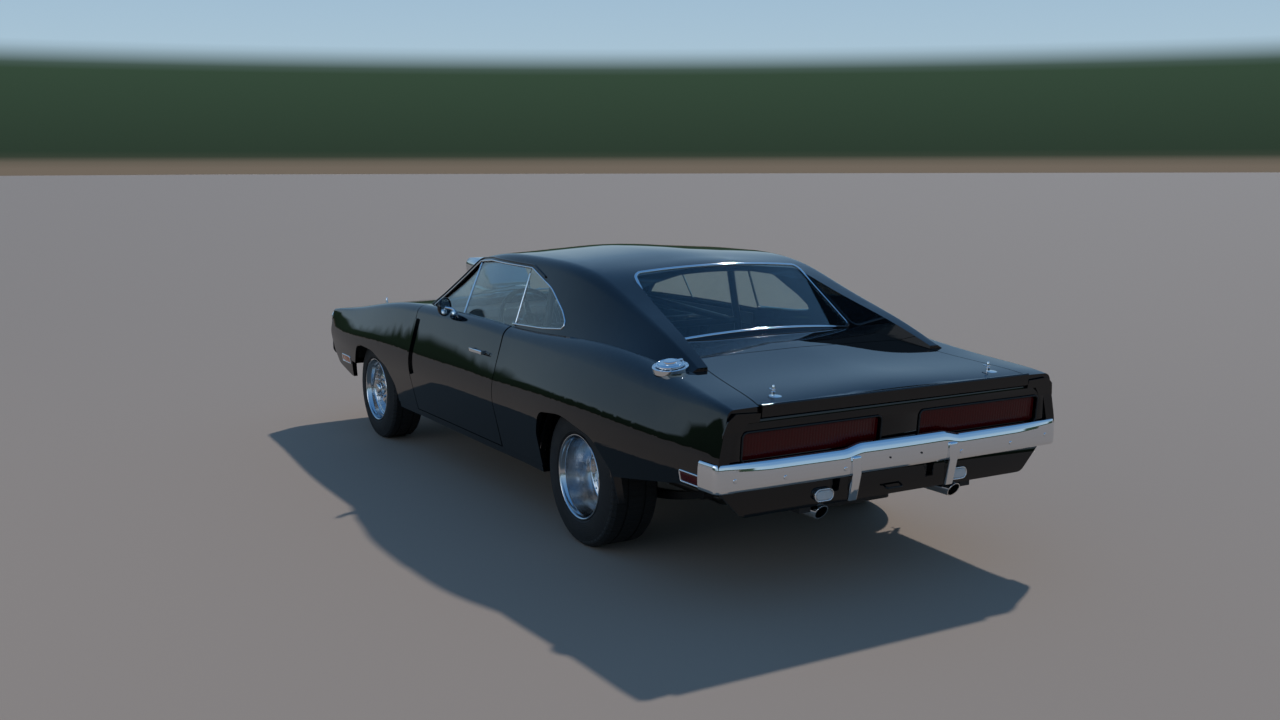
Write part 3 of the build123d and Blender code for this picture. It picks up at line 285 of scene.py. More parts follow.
# %% Dark finishes
def dusty(name, slot, base, roughness, dust_colour, amount, grain, bump=0.1, metallic=0.0):
    """A dark finish with dust in patches and a fine grain, both from Object coordinates."""
    material, tree, shader = new_material(name, slot, base, roughness, metallic)
    share = ranged(tree, noise(tree, 7.0, 6.0), 0.0, amount, 0.45, 0.75)
    mix = add_node(tree, "ShaderNodeMix", {"Factor": share}, data_type="RGBA")
    mix.inputs["A"].default_value = colour(base)
    mix.inputs["B"].default_value = colour(dust_colour)
    tree.links.new(mix.outputs["Result"], shader.inputs["Base Color"])
    bumped(tree, shader, noise(tree, grain, 3.0), bump, 0.002)
    return material


underseal = dusty("satin_black_underseal", "", "#0D0D0E", 0.55, "#3A342C", 0.5, 220.0)
rubber = dusty("tyre_rubber", "", "#121212", 0.72, "#2B2824", 0.35, 500.0, 0.15)
vinyl = dusty("black_grained_vinyl", "black_vinyl", "#0E0E0F", 0.42, "#1B1B1C", 0.4, 700.0, 0.25)
dash_skin = dusty("moulded_black_dashboard", "dash_plastic", "#0C0C0D", 0.5, "#17171A", 0.4, 600.0, 0.2)
seal = dusty("black_weatherstrip_rubber", "gloss_trim", "#080808", 0.6, "#151515", 0.3, 400.0, 0.05)
iron = dusty("painted_cast_iron", "cast_iron", "#1A1B1D", 0.5, "#2E2A26", 0.4, 180.0, 0.3, 0.3)
grille_plastic = dusty("moulded_grille_plastic", "grille_plastic", "#0B0B0C", 0.38, "#26231F", 0.3, 300.0)
carpet = dusty("black_loop_carpet", "black_vinyl", "#0A0A0B", 0.95, "#161616", 0.6, 900.0, 0.8)
steel = dusty("bare_steel_tube", "bare_steel", "#6E6C69", 0.32, "#4A4038", 0.6, 120.0, 0.05, 1.0)
cage_paint = dusty("satin_black_tube_paint", "dark_steel", "#101113", 0.3, "#1A1A1C", 0.3, 200.0, 0.03)

# %% [markdown]
# ## Glass and lamps
#
# The side glass is clear with a trace of green, as float glass is. The tail lamps are
# moulded red acrylic, so dark when unlit that they read nearly black; fine vertical
# flutes catch the light. The front side markers are amber, and the reversing lamps have a
# clear lens with finer flutes.

# %% Glass and lamps
glass, tree, shader = new_material("float_glass", "", "#DCE8E4", 0.0, IOR=1.5, Transmission_Weight=1.0)
tree.links.new(ranged(tree, noise(tree, 5.0, 6.0), 0.0, 0.015), shader.inputs["Roughness"])
red_lens, tree, shader = new_material("red_acrylic_lens", "lamp_lens", "#4A0407", 0.18, IOR=1.35)
bumped(tree, shader, wave(tree, 20.0, "Y"), 0.35, 0.002)
amber_lens, _, _ = new_material("amber_acrylic_lens", "lamp_lens", "#B0520E", 0.12, IOR=1.49, Coat_Weight=0.6)
clear_lens, tree, shader = new_material(
    "clear_ribbed_lens", "lamp_lens", "#C9CDCE", 0.15, IOR=1.49, Coat_Weight=1.0
)
bumped(tree, shader, wave(tree, 40.0, "Y"), 0.5, 0.002)

# %% [markdown]
# ## Dressing the CAD nodes that keep their shape
#
# Every CAD node first gets the material of the real piece. Those that deserve more
# detail are replaced further down.

# %% Materials for the CAD nodes
FINISHES = {
    paint: (
        "roof_panel quarter_panels front_fenders dutchman_panel rocker_panels cowl_firewall hood trunk_lid "
        "door_left door_right valances"
    ),
    underseal: (
        "floor_pan frame_rails inner_fenders tail_panel front_suspension driveline fuel_tank knuckle_left "
        "knuckle_right grille"
    ),
    chrome: "front_bumper rear_bumper fuel_filler filler_cap door_handle_left door_handle_right",
    polished: "rim_front_left rim_front_right rim_rear_left rim_rear_right supercharger",
    rubber: "tyre_front_left tyre_front_right tyre_rear_left tyre_rear_right",
    glass: "fixed_windows door_glass_left door_glass_right",
    red_lens: "tail_lamps side_markers",
    iron: "engine_block",
    steel: "exhaust_system",
    cage_paint: "roll_cage door_mirror",
    vinyl: "seats",
    dash_skin: "dashboard steering_wheel",
}
for material, names in FINISHES.items():
    for name in names.split():
        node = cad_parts[name]
        node.data.materials.clear()
        node.data.materials.append(material)

# %% [markdown]
# ## A smooth skin to light the paint by
#
# Black paint shows every flat facet as a kink in its reflections. The stylist's surface
# is rebuilt here as a fine grid from the same cross sections as the CAD's, its normals
# are blurred a little, as sanding does, and the painted panels take their shading from it.

# %% Section tables, in millimetres
# from tail to nose: station, sill's half width and height, widest half width and height with
# its rounding, shoulder's half width and height with its rounding, height of the middle
BODY_SECTIONS = np.array(
    (
        (-2592, 928, 450, 957, 650, 300, 905, 888, 35, 905),
        (-2300, 922, 400, 968, 650, 340, 897, 924, 70, 940),
        (-1950, 912, 330, 980, 652, 380, 884, 966, 120, 978),
        (-1600, 906, 300, 989, 655, 400, 874, 1006, 150, 1030),
        (-1296, 903, 290, 991, 655, 400, 868, 1018, 150, 1046),
        (-900, 896, 288, 983, 650, 380, 868, 1002, 110, 1024),
        (-400, 888, 287, 970, 642, 350, 868, 986, 80, 1004),
        (250, 885, 287, 966, 640, 350, 869, 992, 70, 1010),
        (880, 886, 288, 968, 640, 350, 872, 984, 70, 1002),
        (1400, 893, 290, 973, 645, 350, 876, 950, 60, 976),
        (1968, 905, 300, 968, 640, 300, 884, 872, 45, 906),
        (2350, 905, 320, 948, 640, 260, 893, 826, 30, 858),
        (2552, 895, 340, 930, 640, 220, 898, 802, 22, 824),
    ),
    float,
)
# from the windshield back: station, base's half width and height, edge's half width and
# height with its rounding, height of the middle
ROOF_SECTIONS = np.array(
    (
        (1020, 825, 900, 640, 1180, 60, 1220),
        (700, 842, 900, 655, 1245, 60, 1288),
        (350, 852, 900, 668, 1305, 60, 1348),
        (0, 855, 900, 690, 1348, 65, 1388),
        (-350, 855, 900, 697, 1356, 70, 1398),
        (-700, 858, 905, 696, 1350, 80, 1390),
        (-950, 862, 915, 690, 1325, 85, 1370),
        (-1163, 862, 930, 682, 1275, 85, 1343),
        (-1386, 858, 945, 680, 1203, 70, 1255),
        (-1600, 850, 955, 684, 1136, 55, 1160),
        (-1798, 835, 950, 692, 1072, 40, 1085),
        (-1973, 800, 930, 700, 1006, 25, 1016),
        (-2060, 785, 925, 705, 970, 15, 980),
    )[::-1],
    float,
)


ARC_STEPS = 12


def rounded(points, radii):
    """Points along straight runs whose corners are rounded by arcs."""
    points = [np.array(p, float) for p in points]
    path = [points[0]]
    for before, corner, after, radius in zip(points, points[1:], points[2:], radii[1:]):
        into = (before - corner) / np.linalg.norm(before - corner)
        out = (after - corner) / np.linalg.norm(after - corner)
        half = math.acos(np.clip(into @ out, -1, 1)) / 2
        reach = radius / math.tan(half)
        middle = (into + out) / np.linalg.norm(into + out)
        centre = corner + middle * radius / math.sin(half)
        first, last = corner + into * reach - centre, corner + out * reach - centre
        for share in np.arange(ARC_STEPS + 1) / ARC_STEPS:
            direction = first * (1 - share) + last * share
            path.append(centre + direction / np.linalg.norm(direction) * radius)
    path.append(points[-1])
    return np.array(path)


def spread(path, count):
    """The same path with evenly spaced points."""
    lengths = np.r_[0, np.cumsum(np.linalg.norm(np.diff(path, axis=0), axis=1))]
    stops = np.linspace(0, lengths[-1], count)
    return np.stack([np.interp(stops, lengths, path[:, k]) for k in range(path.shape[1])], 1)


def smooth_columns(table, stations):
    """Each column of a table as a smooth curve along the car."""
    x = table[:, 0]
    out = np.empty((len(stations), table.shape[1]))
    out[:, 0] = stations
    for k in range(1, table.shape[1]):
        y = table[:, k]
        slope = np.gradient(y, x)
        at = np.clip(np.searchsorted(x, stations) - 1, 0, len(x) - 2)
        span = x[at + 1] - x[at]
        t = (stations - x[at]) / span
        out[:, k] = (
            (2 * t**3 - 3 * t**2 + 1) * y[at]
            + (t**3 - 2 * t**2 + t) * span * slope[at]
            + (3 * t**2 - 2 * t**3) * y[at + 1]
            + (t**3 - t**2) * span * slope[at + 1]
        )
    return out


def skin_normals(grid, blur):
    """Unit normals of a grid of points, blurred over a few neighbours."""
    along = np.gradient(grid, axis=0)
    across = np.gradient(grid, axis=1)
    normal = np.cross(along, across)
    normal /= np.linalg.norm(normal, axis=2, keepdims=True)
    for axis, reach in enumerate(blur):
        for _ in range(reach):
            padded = np.pad(normal, [(1, 1) if a == axis else (0, 0) for a in range(3)], mode="edge")
            low = np.take(padded, range(0, padded.shape[axis] - 2), axis)
            high = np.take(padded, range(2, padded.shape[axis]), axis)
            normal = 0.25 * low + 0.5 * normal + 0.25 * high
            normal /= np.linalg.norm(normal, axis=2, keepdims=True)
    return normal


def mirrored_grid(rows, stations):
    """Half sections and their mirror images, in metres, as one grid along the car."""
    grid = np.array([np.vstack([side, side[-2::-1] * (-1, 1)]) for side in rows])
    x = np.broadcast_to(stations[:, None, None], (*grid.shape[:2], 1))
    return np.concatenate([x, grid], 2) * MM


def half_of(section, count):
    """The left half of a section, up to the middle of the car, in even steps."""
    half = section[section[:, 0] >= 0]
    return spread(np.vstack([half, (0.0, half[-1, 1])]), count)


def body_grid():
    stations = np.linspace(-2592, 2552, 258)
    rows = []
    for _, y0, z0, y1, z1, r1, y2, z2, r2, z3 in smooth_columns(BODY_SECTIONS, stations):
        section = rounded([(y0, z0), (y1, z1), (y2, z2), (0, z3), (-y2, z2)], [0, r1, r2, 6000])
        rows.append(half_of(section, 150))
    return mirrored_grid(rows, stations)


def roof_grid():
    stations = np.linspace(-2060, 1020, 155)
    rows = []
    for _, y0, z0, y1, z1, r1, z2 in smooth_columns(ROOF_SECTIONS, stations):
        rows.append(half_of(rounded([(y0, z0), (y1, z1), (0, z2), (-y1, z1)], [0, r1, 2500]), 120))
    return mirrored_grid(rows, stations)


# a point further from the skin than this, in metres, isn't on it
SKIN_REACH = 0.012
FROM_LEFT, FROM_ABOVE = (0, -1, 0), (0, 0, -1)


class Skin:
    """A grid of points that answers with its own normal at the nearest point."""

    def __init__(self, grid, blur):
        self.normals = skin_normals(grid, blur).reshape(-1, 3)
        rows, columns = grid.shape[:2]
        self.points = grid.reshape(-1, 3)
        index = np.arange(rows * columns).reshape(rows, columns)
        corners = [index[:-1, :-1], index[1:, :-1], index[1:, 1:], index[:-1, 1:]]
        self.faces = np.stack(corners, 2).reshape(-1, 4)
        self.tree = BVHTree.FromPolygons(self.points.tolist(), self.faces.tolist())

    def normal(self, point):
        """Blend the corners' normals of the nearest face by distance."""
        found, _, face, _ = self.tree.find_nearest(point, SKIN_REACH)
        if found is None:
            return None
        corners = self.faces[face]
        away = np.linalg.norm(self.points[corners] - np.array(found), axis=1) + 1e-5
        blend = (self.normals[corners] / away[:, None] ** 2).sum(0)
        return Vector(blend / np.linalg.norm(blend))

    def met(self, start, along):
        """Where a ray from a point in millimetres first meets the skin, and the normal there."""
        hit, normal, _, _ = self.tree.ray_cast(Vector(start) * MM, Vector(along))
        return (None if hit is None else np.array(hit) / MM), normal


body_skin = Skin(body_grid(), (5, 5))
roof_skin = Skin(roof_grid(), (4, 4))

# %% [markdown]
# ## Painted panels
#
# A painted panel is a copy of its CAD node with its loose triangles merged. Where a
# corner of a face lies on the stylist's surface and faces the same way, it takes that
# surface's normal. The folded edges keep their own.

# %% Painted panels
def merged_copy(node_name):
    """A copy of a CAD node whose loose triangles are joined."""
    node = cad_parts[node_name]
    choose(node)
    bpy.ops.object.duplicate()
    copy = bpy.context.object
    copy.parent = None
    edit_all(copy)
    bpy.ops.mesh.customdata_custom_splitnormals_clear()
    bpy.ops.mesh.remove_doubles(threshold=0.00002)
    bpy.ops.object.mode_set(mode="OBJECT")
    return copy


# least cosine between a face's normal and the skin's for the skin to light it
SAME_WAY = 0.93


def painted(node_name, name, body, skin):
    piece = shaded(merged_copy(node_name), 25)
    mesh = piece.data
    split = [Vector(n.vector) for n in mesh.corner_normals]
    wanted = [skin.normal(vertex.co) for vertex in mesh.vertices]
    for face in mesh.polygons:
        for corner in face.loop_indices:
            normal = wanted[mesh.loops[corner].vertex_index]
            if normal is not None and normal.dot(face.normal) > SAME_WAY:
                split[corner] = normal
    mesh.normals_split_custom_set(split)
    finish(piece, name, paint, [node_name], body)


painted("roof_panel", "roof_paint", "body", roof_skin)
FIXED_PANELS = {
    "quarter_panels": "quarter_paint",
    "front_fenders": "fender_paint",
    "dutchman_panel": "dutchman_paint",
    "rocker_panels": "rocker_paint",
    "cowl_firewall": "cowl_paint",
}
for node_name, name in FIXED_PANELS.items():
    painted(node_name, name, "body", body_skin)
for moving in ("hood", "trunk_lid", "door_left", "door_right"):
    painted(moving, f"{moving}_paint", moving, body_skin)

# %% [markdown]
# ## Wheels
#
# Each wheel is turned metal: a polished barrel with a rolled lip, and a dished centre
# held by a ring of small bolts. A turned shape is one profile spun about the axle. The
# rear dish is almost three times as deep as the front one, which gives the car its look.

# %% Turning tool
# points nearer than this, in metres, become one
WELD = 0.00005


def drawn(name, points, edges, faces=()):
    mesh = bpy.data.meshes.new(name)
    mesh.from_pydata(points, edges, faces)
    piece = bpy.data.objects.new(name, mesh)
    bpy.context.scene.collection.objects.link(piece)
    return choose(piece)


def turned(profile, centre=(0, 0, 0), steps=48, smooth=35):
    """Spin a profile of (radius, offset) in millimetres about an axis along Y."""
    x, y, z = centre
    points = [(x, y + offset * MM, z + radius * MM) for radius, offset in profile]
    piece = drawn("turned", points, [(k, k + 1) for k in range(len(points) - 1)])
    edit_all(piece)
    bpy.ops.mesh.spin(steps=steps, angle=math.tau, center=centre, axis=(0, 1, 0))
    return shaded(cleaned(piece, WELD), smooth)


def bolt_head(place, angle, radius, height, sides):
    """A bolt head with a rimmed top, in millimetres, standing out along Y."""
    choose(None)
    size = {"radius": radius * MM, "depth": height * MM}
    turn = (-math.pi / 2, angle, 0)
    bpy.ops.mesh.primitive_cylinder_add(vertices=sides, location=place, rotation=turn, **size)
    bolt = bpy.context.object
    pick_faces(bolt, lambda centre, normal: normal.z > 0.9)
    bpy.ops.mesh.inset(thickness=radius * MM * 0.18)
    bpy.ops.transform.translate(value=(0, height * MM * 0.25, 0))
    bpy.ops.object.mode_set(mode="OBJECT")
    return settle(bolt)


def bolt_ring(centre, count, circle, start, head):
    """Bolt heads evenly round a circle in the wheel's plane."""
    x, y, z = centre
    heads = []
    for angle in np.radians(start + 360 * np.arange(count) / count):
        place = (x + circle * MM * math.cos(angle), y, z + circle * MM * math.sin(angle))
        heads.append(bolt_head(place, angle, *head))
    return heads


# %% [markdown]
# The profile starts at the rolled lip, runs down the barrel to the bolted land, crosses
# the shallow cone of the centre and ends in the hub's cap. It then comes back behind the
# centre, so the wheel is a closed shell with room for the spindle.

# %% Polished rims
def make_rim(name, node, body, x, z, lip_y, width, dish):
    front = [
        (203, -14), (205, -10), (211, -8), (211.5, -3), (209.5, -0.5), (206.5, 0), (203, -2.5), (200.5, -9),
        (198.5, -20), (194.5, -25), (193, -34),
    ]
    bowl = [
        (190, 12), (187, 4), (183, 1), (168, 0), (165, -2), (140, -1), (112, 5), (92, 13), (80, 16), (46, 16),
        (42, 18), (40, 33), (36, 36), (34, 46), (28, 52), (12, 55), (0, 55.5), (0, 50), (30, 44), (31, -28),
        (58, -28), (62, -12), (160, -14), (188, -10), (194, -18),
    ]
    back = [(195, 10), (203, 2), (211, 0), (211, 8), (203, 12)]
    profile = front + [(r, h - dish) for r, h in bowl] + [(r, h - width) for r, h in back] + front[:1]
    pieces = [turned(profile, (x * MM, lip_y * MM, z * MM), 72)]
    # rivets, wheel nuts and the valve: count, circle, first angle, height, then the head itself
    for count, circle, start, height, head in (
        (28, 175.5, 90.0, 2.5, (5.0, 5.0, 6)),
        (5, 61.0, 90.0, 25, (10.5, 20.0, 6)),
        (1, 178.0, 215.0, 12, (4.5, 26.0, 12)),
    ):
        centre = (x * MM, (lip_y - dish + height) * MM, z * MM)
        pieces += bolt_ring(centre, count, circle, start, head)
    return finish(pieces, name, polished, [node], body)


# %% [markdown]
# A tyre's sidewall bulges from the bead and rolls over a soft shoulder into a flat tread
# with two straight grooves. The tread's cross cuts are drawn by the rubber's relief,
# which follows the piece's own UV map: U runs round the tyre and V out from its axle.

# %% Tyres
def make_tyre(name, node, body, x, z, lip_y, width, radius):
    half = width / 2
    side = [(210, half - 16), (224, half - 3), (248, half), (radius - 50, half - 4), (radius - 13, half - 17)]
    groove = half * 0.34
    cut = [(radius, groove + 6), (radius - 8, groove + 4), (radius - 8, groove - 4), (radius, groove - 6)]
    outer = side + [(radius, half - 34)] + cut
    profile = outer + [(r, -y) for r, y in reversed(outer)]
    tyre = turned(profile, (x * MM, (lip_y + 5 - half) * MM, z * MM), 96, 28)
    mesh = tyre.data
    layer = mesh.uv_layers.new(name="round_and_across")
    for face in mesh.polygons:
        centre = face.center
        base = math.atan2(centre.z - z * MM, centre.x - x * MM)
        for corner in face.loop_indices:
            co = mesh.vertices[mesh.loops[corner].vertex_index].co
            angle = math.atan2(co.z - z * MM, co.x - x * MM)
            angle += math.tau * round((base - angle) / math.tau)
            layer.data[corner].uv = (angle * radius * MM, math.hypot(co.z - z * MM, co.x - x * MM))
    return finish(tyre, name, tread_rubber, [node], body)


tread_rubber, tree, shader = new_material("ribbed_tyre_rubber", "tyre", "#131313", 0.7)
uv = add_node(tree, "ShaderNodeUVMap", uv_map="round_and_across").outputs[0]
across = add_node(tree, "ShaderNodeSeparateXYZ", {"Vector": uv}).outputs["Y"]
on_tread = ranged(tree, across, 0.0, 1.0, 0.318, 0.324)
sipes = ranged(tree, wave(tree, 9.0, "X", uv, 0.6), 0.0, 1.0, 0.12, 0.3)
blocks = calculated(tree, "MULTIPLY", sipes, on_tread)
side_share = calculated(tree, "SUBTRACT", 1.0, on_tread)
rings = calculated(tree, "MULTIPLY", wave(tree, 34.0, "Y", uv), side_share)
rings = calculated(tree, "MULTIPLY", rings, 0.12)
bumped(tree, shader, calculated(tree, "ADD", blocks, rings), 0.8, 0.006)
tree.links.new(ranged(tree, noise(tree, 12.0, 5.0), 0.58, 0.85), shader.inputs["Roughness"])

# station, axle height, the lip's distance from the middle, rim width, dish and tyre width
WHEELS = {
    "front": (1676.0, 333.0, 896.0, 225.0, 62.0, 235.0),
    "rear": (-1296.0, 345.0, 903.0, 265.0, 178.0, 275.0),
}
for end, (x, z, lip_y, rim_width, dish, tyre_width) in WHEELS.items():
    left, right = f"{end}_left", f"{end}_right"
    rim = make_rim(f"{left}_polished_rim", f"rim_{left}", f"wheel_{left}", x, z, lip_y, rim_width, dish)
    tyre = make_tyre(f"{left}_tyre_rubber", f"tyre_{left}", f"wheel_{left}", x, z, lip_y, tyre_width, z)
    for piece, node, slot in ((rim, f"rim_{right}", "chrome"), (tyre, f"tyre_{right}", "tyre")):
        tie(twin(piece, piece.name.replace("left", "right")), f"wheel_{right}", [node])

# %% [markdown]
# ## Blocks, plates and bars
#
# Most trim is one of three forms: a block with rounded edges, a flat plate cut to an
# outline, or a bar swept along a line. Stamped and cast metal never has a sharp edge, so
# each form gets a small bevel, and that is what catches the light.

# %% Tools for the trim
def rounded_edges(piece, width, segments=3):
    limit = math.radians(32)
    add_modifier(piece, "BEVEL", width=width * MM, segments=segments, limit_method="ANGLE", angle_limit=limit)
    return shaded(settle(piece), 35)


def block(low, high, rounding=2.0, turn=(0, 0, 0)):
    """A block between two corners in millimetres, turned about its middle."""
    low, high = Vector(low) * MM, Vector(high) * MM
    where = {"location": (low + high) / 2, "rotation": turn, "scale": high - low}
    return rounded_edges(made(bpy.ops.mesh.primitive_cube_add, size=1, **where), rounding)


def towards(origin, out, up=(0, 0, 1)):
    """A place in millimetres whose local Z points out and whose local Y is nearest to up."""
    z = Vector(out).normalized()
    x = Vector(up).cross(z).normalized()
    turn = Matrix((x, z.cross(x), z)).transposed().to_4x4()
    return Matrix.Translation(Vector(origin) * MM) @ turn


def placed(piece, place):
    piece.matrix_world = place @ piece.matrix_world
    return settle(piece)


def disc(radius, depth, place, rounding=1.0, sides=40):
    """A round boss whose foot stands on a place."""
    size = {"radius": radius * MM, "depth": depth * MM, "location": (0, 0, depth * MM / 2)}
    piece = made(bpy.ops.mesh.primitive_cylinder_add, vertices=sides, **size)
    return placed(rounded_edges(piece, rounding), place)


def plate(outline, thickness, place=Matrix.Identity(4), rounding=0):
    """A flat outline of rows u, v in millimetres, thickened outwards on a place."""
    count = len(outline)
    edges = [(k, (k + 1) % count) for k in range(count)]
    piece = drawn("plate", [(u * MM, v * MM, 0) for u, v in outline], edges)
    edit_all(piece)
    bpy.ops.mesh.edge_face_add()
    bpy.ops.mesh.extrude_region_move(TRANSFORM_OT_translate={"value": (0, 0, thickness * MM)})
    cleaned(piece)
    if rounding:
        rounded_edges(piece, rounding)
    return placed(piece, place)


def bar(points, radius, closed=False, flat=None):
    """A round bar along points in millimetres; flat=(half width, half height) makes it a moulding."""
    count = len(points)
    edges = [(k, k + 1) for k in range(count - 1)] + ([(count - 1, 0)] if closed else [])
    piece = drawn("bar", [tuple(float(c) * MM for c in point) for point in points], edges)
    bpy.ops.object.convert(target="CURVE")
    piece = bpy.context.object
    piece.data.dimensions = "3D"
    piece.data.twist_mode = "Z_UP" if flat else "MINIMUM"
    piece.data.use_fill_caps = not closed
    profile = None
    if flat:
        choose(None)
        bpy.ops.curve.primitive_bezier_circle_add(radius=1)
        profile = bpy.context.object
        profile.scale = (flat[0] * MM, flat[1] * MM, 1)
        bpy.ops.object.transform_apply(location=True, rotation=True, scale=True)
        profile.data.resolution_u = 4
        piece.data.bevel_mode = "OBJECT"
        piece.data.bevel_object = profile
    else:
        piece.data.bevel_depth = radius * MM
        piece.data.bevel_resolution = 3
    cleaned(settle(piece))
    if profile:
        bpy.data.objects.remove(profile)
    return shaded(piece, 50)


def reshaped(piece, rule):
    """Move every point of a settled mesh by a rule on millimetres."""
    for vertex in piece.data.vertices:
        vertex.co = Vector(rule(*(vertex.co / MM))) * MM
    return piece


def loop_of(width, height, radius, middle=(0, 0)):
    """A rounded rectangle as rows of u, v."""
    u, v = width / 2, height / 2
    corners = [(u, 0), (u, v), (-u, v), (-u, -v), (u, -v), (u, 0)]
    path = rounded(corners, [0, radius, radius, radius, radius, 0])[:-1]
    return [(a + middle[0], b + middle[1]) for a, b in path]


def dressed(node_name, name, material, rounding, segments=2, body="body"):
    """A CAD node's own shape with its edges rounded."""
    piece = rounded_edges(merged_copy(node_name), rounding, segments)
    finish(piece, name, material, [node_name], body)


def both_sides(piece, name, material, body="body"):
    """Finish a left-hand piece and add its right-hand twin; names and bodies end in _left."""
    piece = finish(piece, name, material, body=body)
    copy = twin(piece, name.replace("_left", "_right"))
    tie(copy, body.replace("_left", "_right"), ())


# %% [markdown]
# ## Tail
#
# The tail is one body-coloured face with two long lamp recesses. It keeps the CAD's shape
# with its edges rounded. Each lamp is a moulded red lens set deep behind a black rubber
# frame, so that it is in shadow even in full sun.

# %% Tail face, lamps and frames
dressed("tail_panel", "tail_face", paint, 2.0)
dressed("valances", "valances_painted", paint, 2.5)

LAMP_MIDDLE = (472.0, 725.0)


def tail_face_x(z):
    """The face under the trunk lid leans back towards its top."""
    return -2572 - 20 * (z - 560) / 222 if z < 782 else -2592 - 12 * (z - 782) / 56


lens = plate(loop_of(712, 114, 16, LAMP_MIDDLE), 1.0)
reshaped(lens, lambda u, v, w: (-2556.3 - w * (3.7 + 25 * (v - 600) / 230), u, v))
both_sides(rounded_edges(lens, 3.0), "tail_lens_left", red_lens)
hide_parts("tail_lamps")
corner_line = [
    (757, 828), (757, 866), (880, 872), (915, 842), (930, 790), (925, 566), (836, 566), (836, 798),
    (812, 828),
]
corner = reshaped(plate(corner_line, 6.0), lambda u, v, w: (tail_face_x(v) + 8 - w, u, v))
both_sides(corner, "tail_corner_left", paint)
frame_line = [(tail_face_x(v) - 1.5, u, v) for u, v in loop_of(727, 129, 24, LAMP_MIDDLE)]
both_sides(bar(frame_line, 4.0, True), "tail_lamp_frame_left", seal)
ribs = [block((-2568, y - 2, 672), (-2560, y + 2, 778), 1.0) for y in (294, 472, 650)]
both_sides(ribs, "tail_lamp_ribs_left", seal)

# %% [markdown]
# Under the bumper hang two oval reversing lamps: a clear ribbed lens in a chrome ring.

# %% Reversing lamps and tow loop
LAMP_Y, LAMP_Z = 385, 466
behind = towards((-2540.5, LAMP_Y, LAMP_Z), (-1, 0, 0))
both_sides(plate(loop_of(100, 54, 26.5), 14.0, behind, 3.0), "reverse_lamp_cup_left", chrome)
both_sides(plate(loop_of(88, 42, 20.5), 21.0, behind, 5.0), "reverse_lens_left", clear_lens)
ring = bar([(-2556, LAMP_Y + u, LAMP_Z + v) for u, v in loop_of(97, 51, 25)], 3.6, True)
both_sides(ring, "reverse_lamp_ring_left", chrome)
hook = rounded([(-2530, -45, 470), (-2566, -45, 452), (-2566, 45, 452), (-2530, 45, 470)], [0, 10, 10, 0])
finish(bar(hook, 4.5), "tow_loop", cage_paint)

# %% [markdown]
# The rear bumper is pressed from one sheet with a crowned section, so its face runs from
# sky to ground without a break. A flat grid is laid on that section along the bar's plan;
# a bevelled block would give one flat tone. Two upright guards stand on it, rubber plugs
# close the plate's holes, and the mounting bolts have domed, polished heads. The front
# bumper keeps the CAD's form, with edges rolled over.

# %% Bumpers
BAR_Z, BAR_HEIGHT, BAR_RISE = 548, 120, 20
# share of the bar's depth and of its height, up the outer face and down the inner one
BAR_SECTION = np.array((
    (1, 0), (0.6, 0), (0.3, 0.03), (0.1, 0.1), (0.02, 0.22), (0, 0.4), (0.02, 0.55), (0.09, 0.7),
    (0.22, 0.83), (0.42, 0.93), (0.68, 0.985), (1, 1), (1, 0.5), (1, 0),
))
PLAN_STEPS = 400


def bar_plan(half, corner):
    """The bar's plan from its left end to its right one, from the left half's four points."""
    path = half + [(x, -y) for x, y in half[-2::-1]]
    return spread(rounded(path, [0, corner, 900, 9000, 900, corner, 0]), PLAN_STEPS + 1)


outside = bar_plan([(-2470, 972), (-2600, 966), (-2622, 700), (-2634, 0)], 40)
inside = bar_plan([(-2470, 961), (-2592.3, 957), (-2594, 700), (-2600, 0)], 30)


def between(table, at):
    """The row of a table at a fractional index."""
    return np.array([np.interp(at, range(len(table)), column) for column in table.T])


def on_rear_bar(u, v, _):
    """Lay a metre-wide grid's point on the bar: u runs along it and v round its section."""
    depth, height = between(BAR_SECTION, (v / 1000 + 0.5) * (len(BAR_SECTION) - 1))
    at = (u / 1000 + 0.5) * PLAN_STEPS
    x, y = between(outside, at) * (1 - depth) + between(inside, at) * depth
    share = np.clip((335 - abs(y)) / 110, 0, 1)
    rise = BAR_RISE * share * share * (3 - 2 * share)
    return x, y, BAR_Z + height * BAR_HEIGHT + rise * (0.3 + 0.7 * height)


rear_bar = made(bpy.ops.mesh.primitive_grid_add, x_subdivisions=240, y_subdivisions=52, size=1)
rear_bar = shaded(cleaned(reshaped(rear_bar, on_rear_bar), WELD, fill=True), 40)
guard = [(2612, 437), (2598, 440), (2602, 560), (2628.5, 640), (2640, 634), (2641.5, 560)]
guards = [plate(guard, 46, towards((0, y, 0), (0, 1, 0)), 9.0) for y in (252, -298)]
finish([rear_bar, *guards], "rear_bumper_chrome", chrome, ["rear_bumper"])
plugs = [disc(4.5, 1.5, towards((-2634.2, y, 610), (-1, 0, 0)), 0.6, 16) for y in (89, -89)]
finish(plugs, "plate_plugs", cage_paint)
dressed("front_bumper", "front_bumper_chrome", chrome, 5.0, 3)
heads = []
for x, y, z in ((-2627.34, 330, 588), (-2622.03, 640, 590), (-2606.11, 880, 600)):
    heads += [disc(9.0, 4.0, towards((x, s * y, z), (-1, 0, 0)), 2.5, 24) for s in (1, -1)]
finish(heads, "rear_bumper_bolts", chrome)

# %% [markdown]
# The exhaust ends in two polished steel tips, cut at a slant, with a rolled edge.

# %% Exhaust
dressed("exhaust_system", "exhaust_steel", steel, 0.8)
tip = turned([(29.4, 4), (32.6, 4), (34, 1.5), (34, -150), (32.4, -152)])
reshaped(tip, lambda x, y, z: (-2530 - y - (0.6 * z if y > -100 else 0), 381 + x, 385 + z))
both_sides(tip, "exhaust_tip_left", chrome)

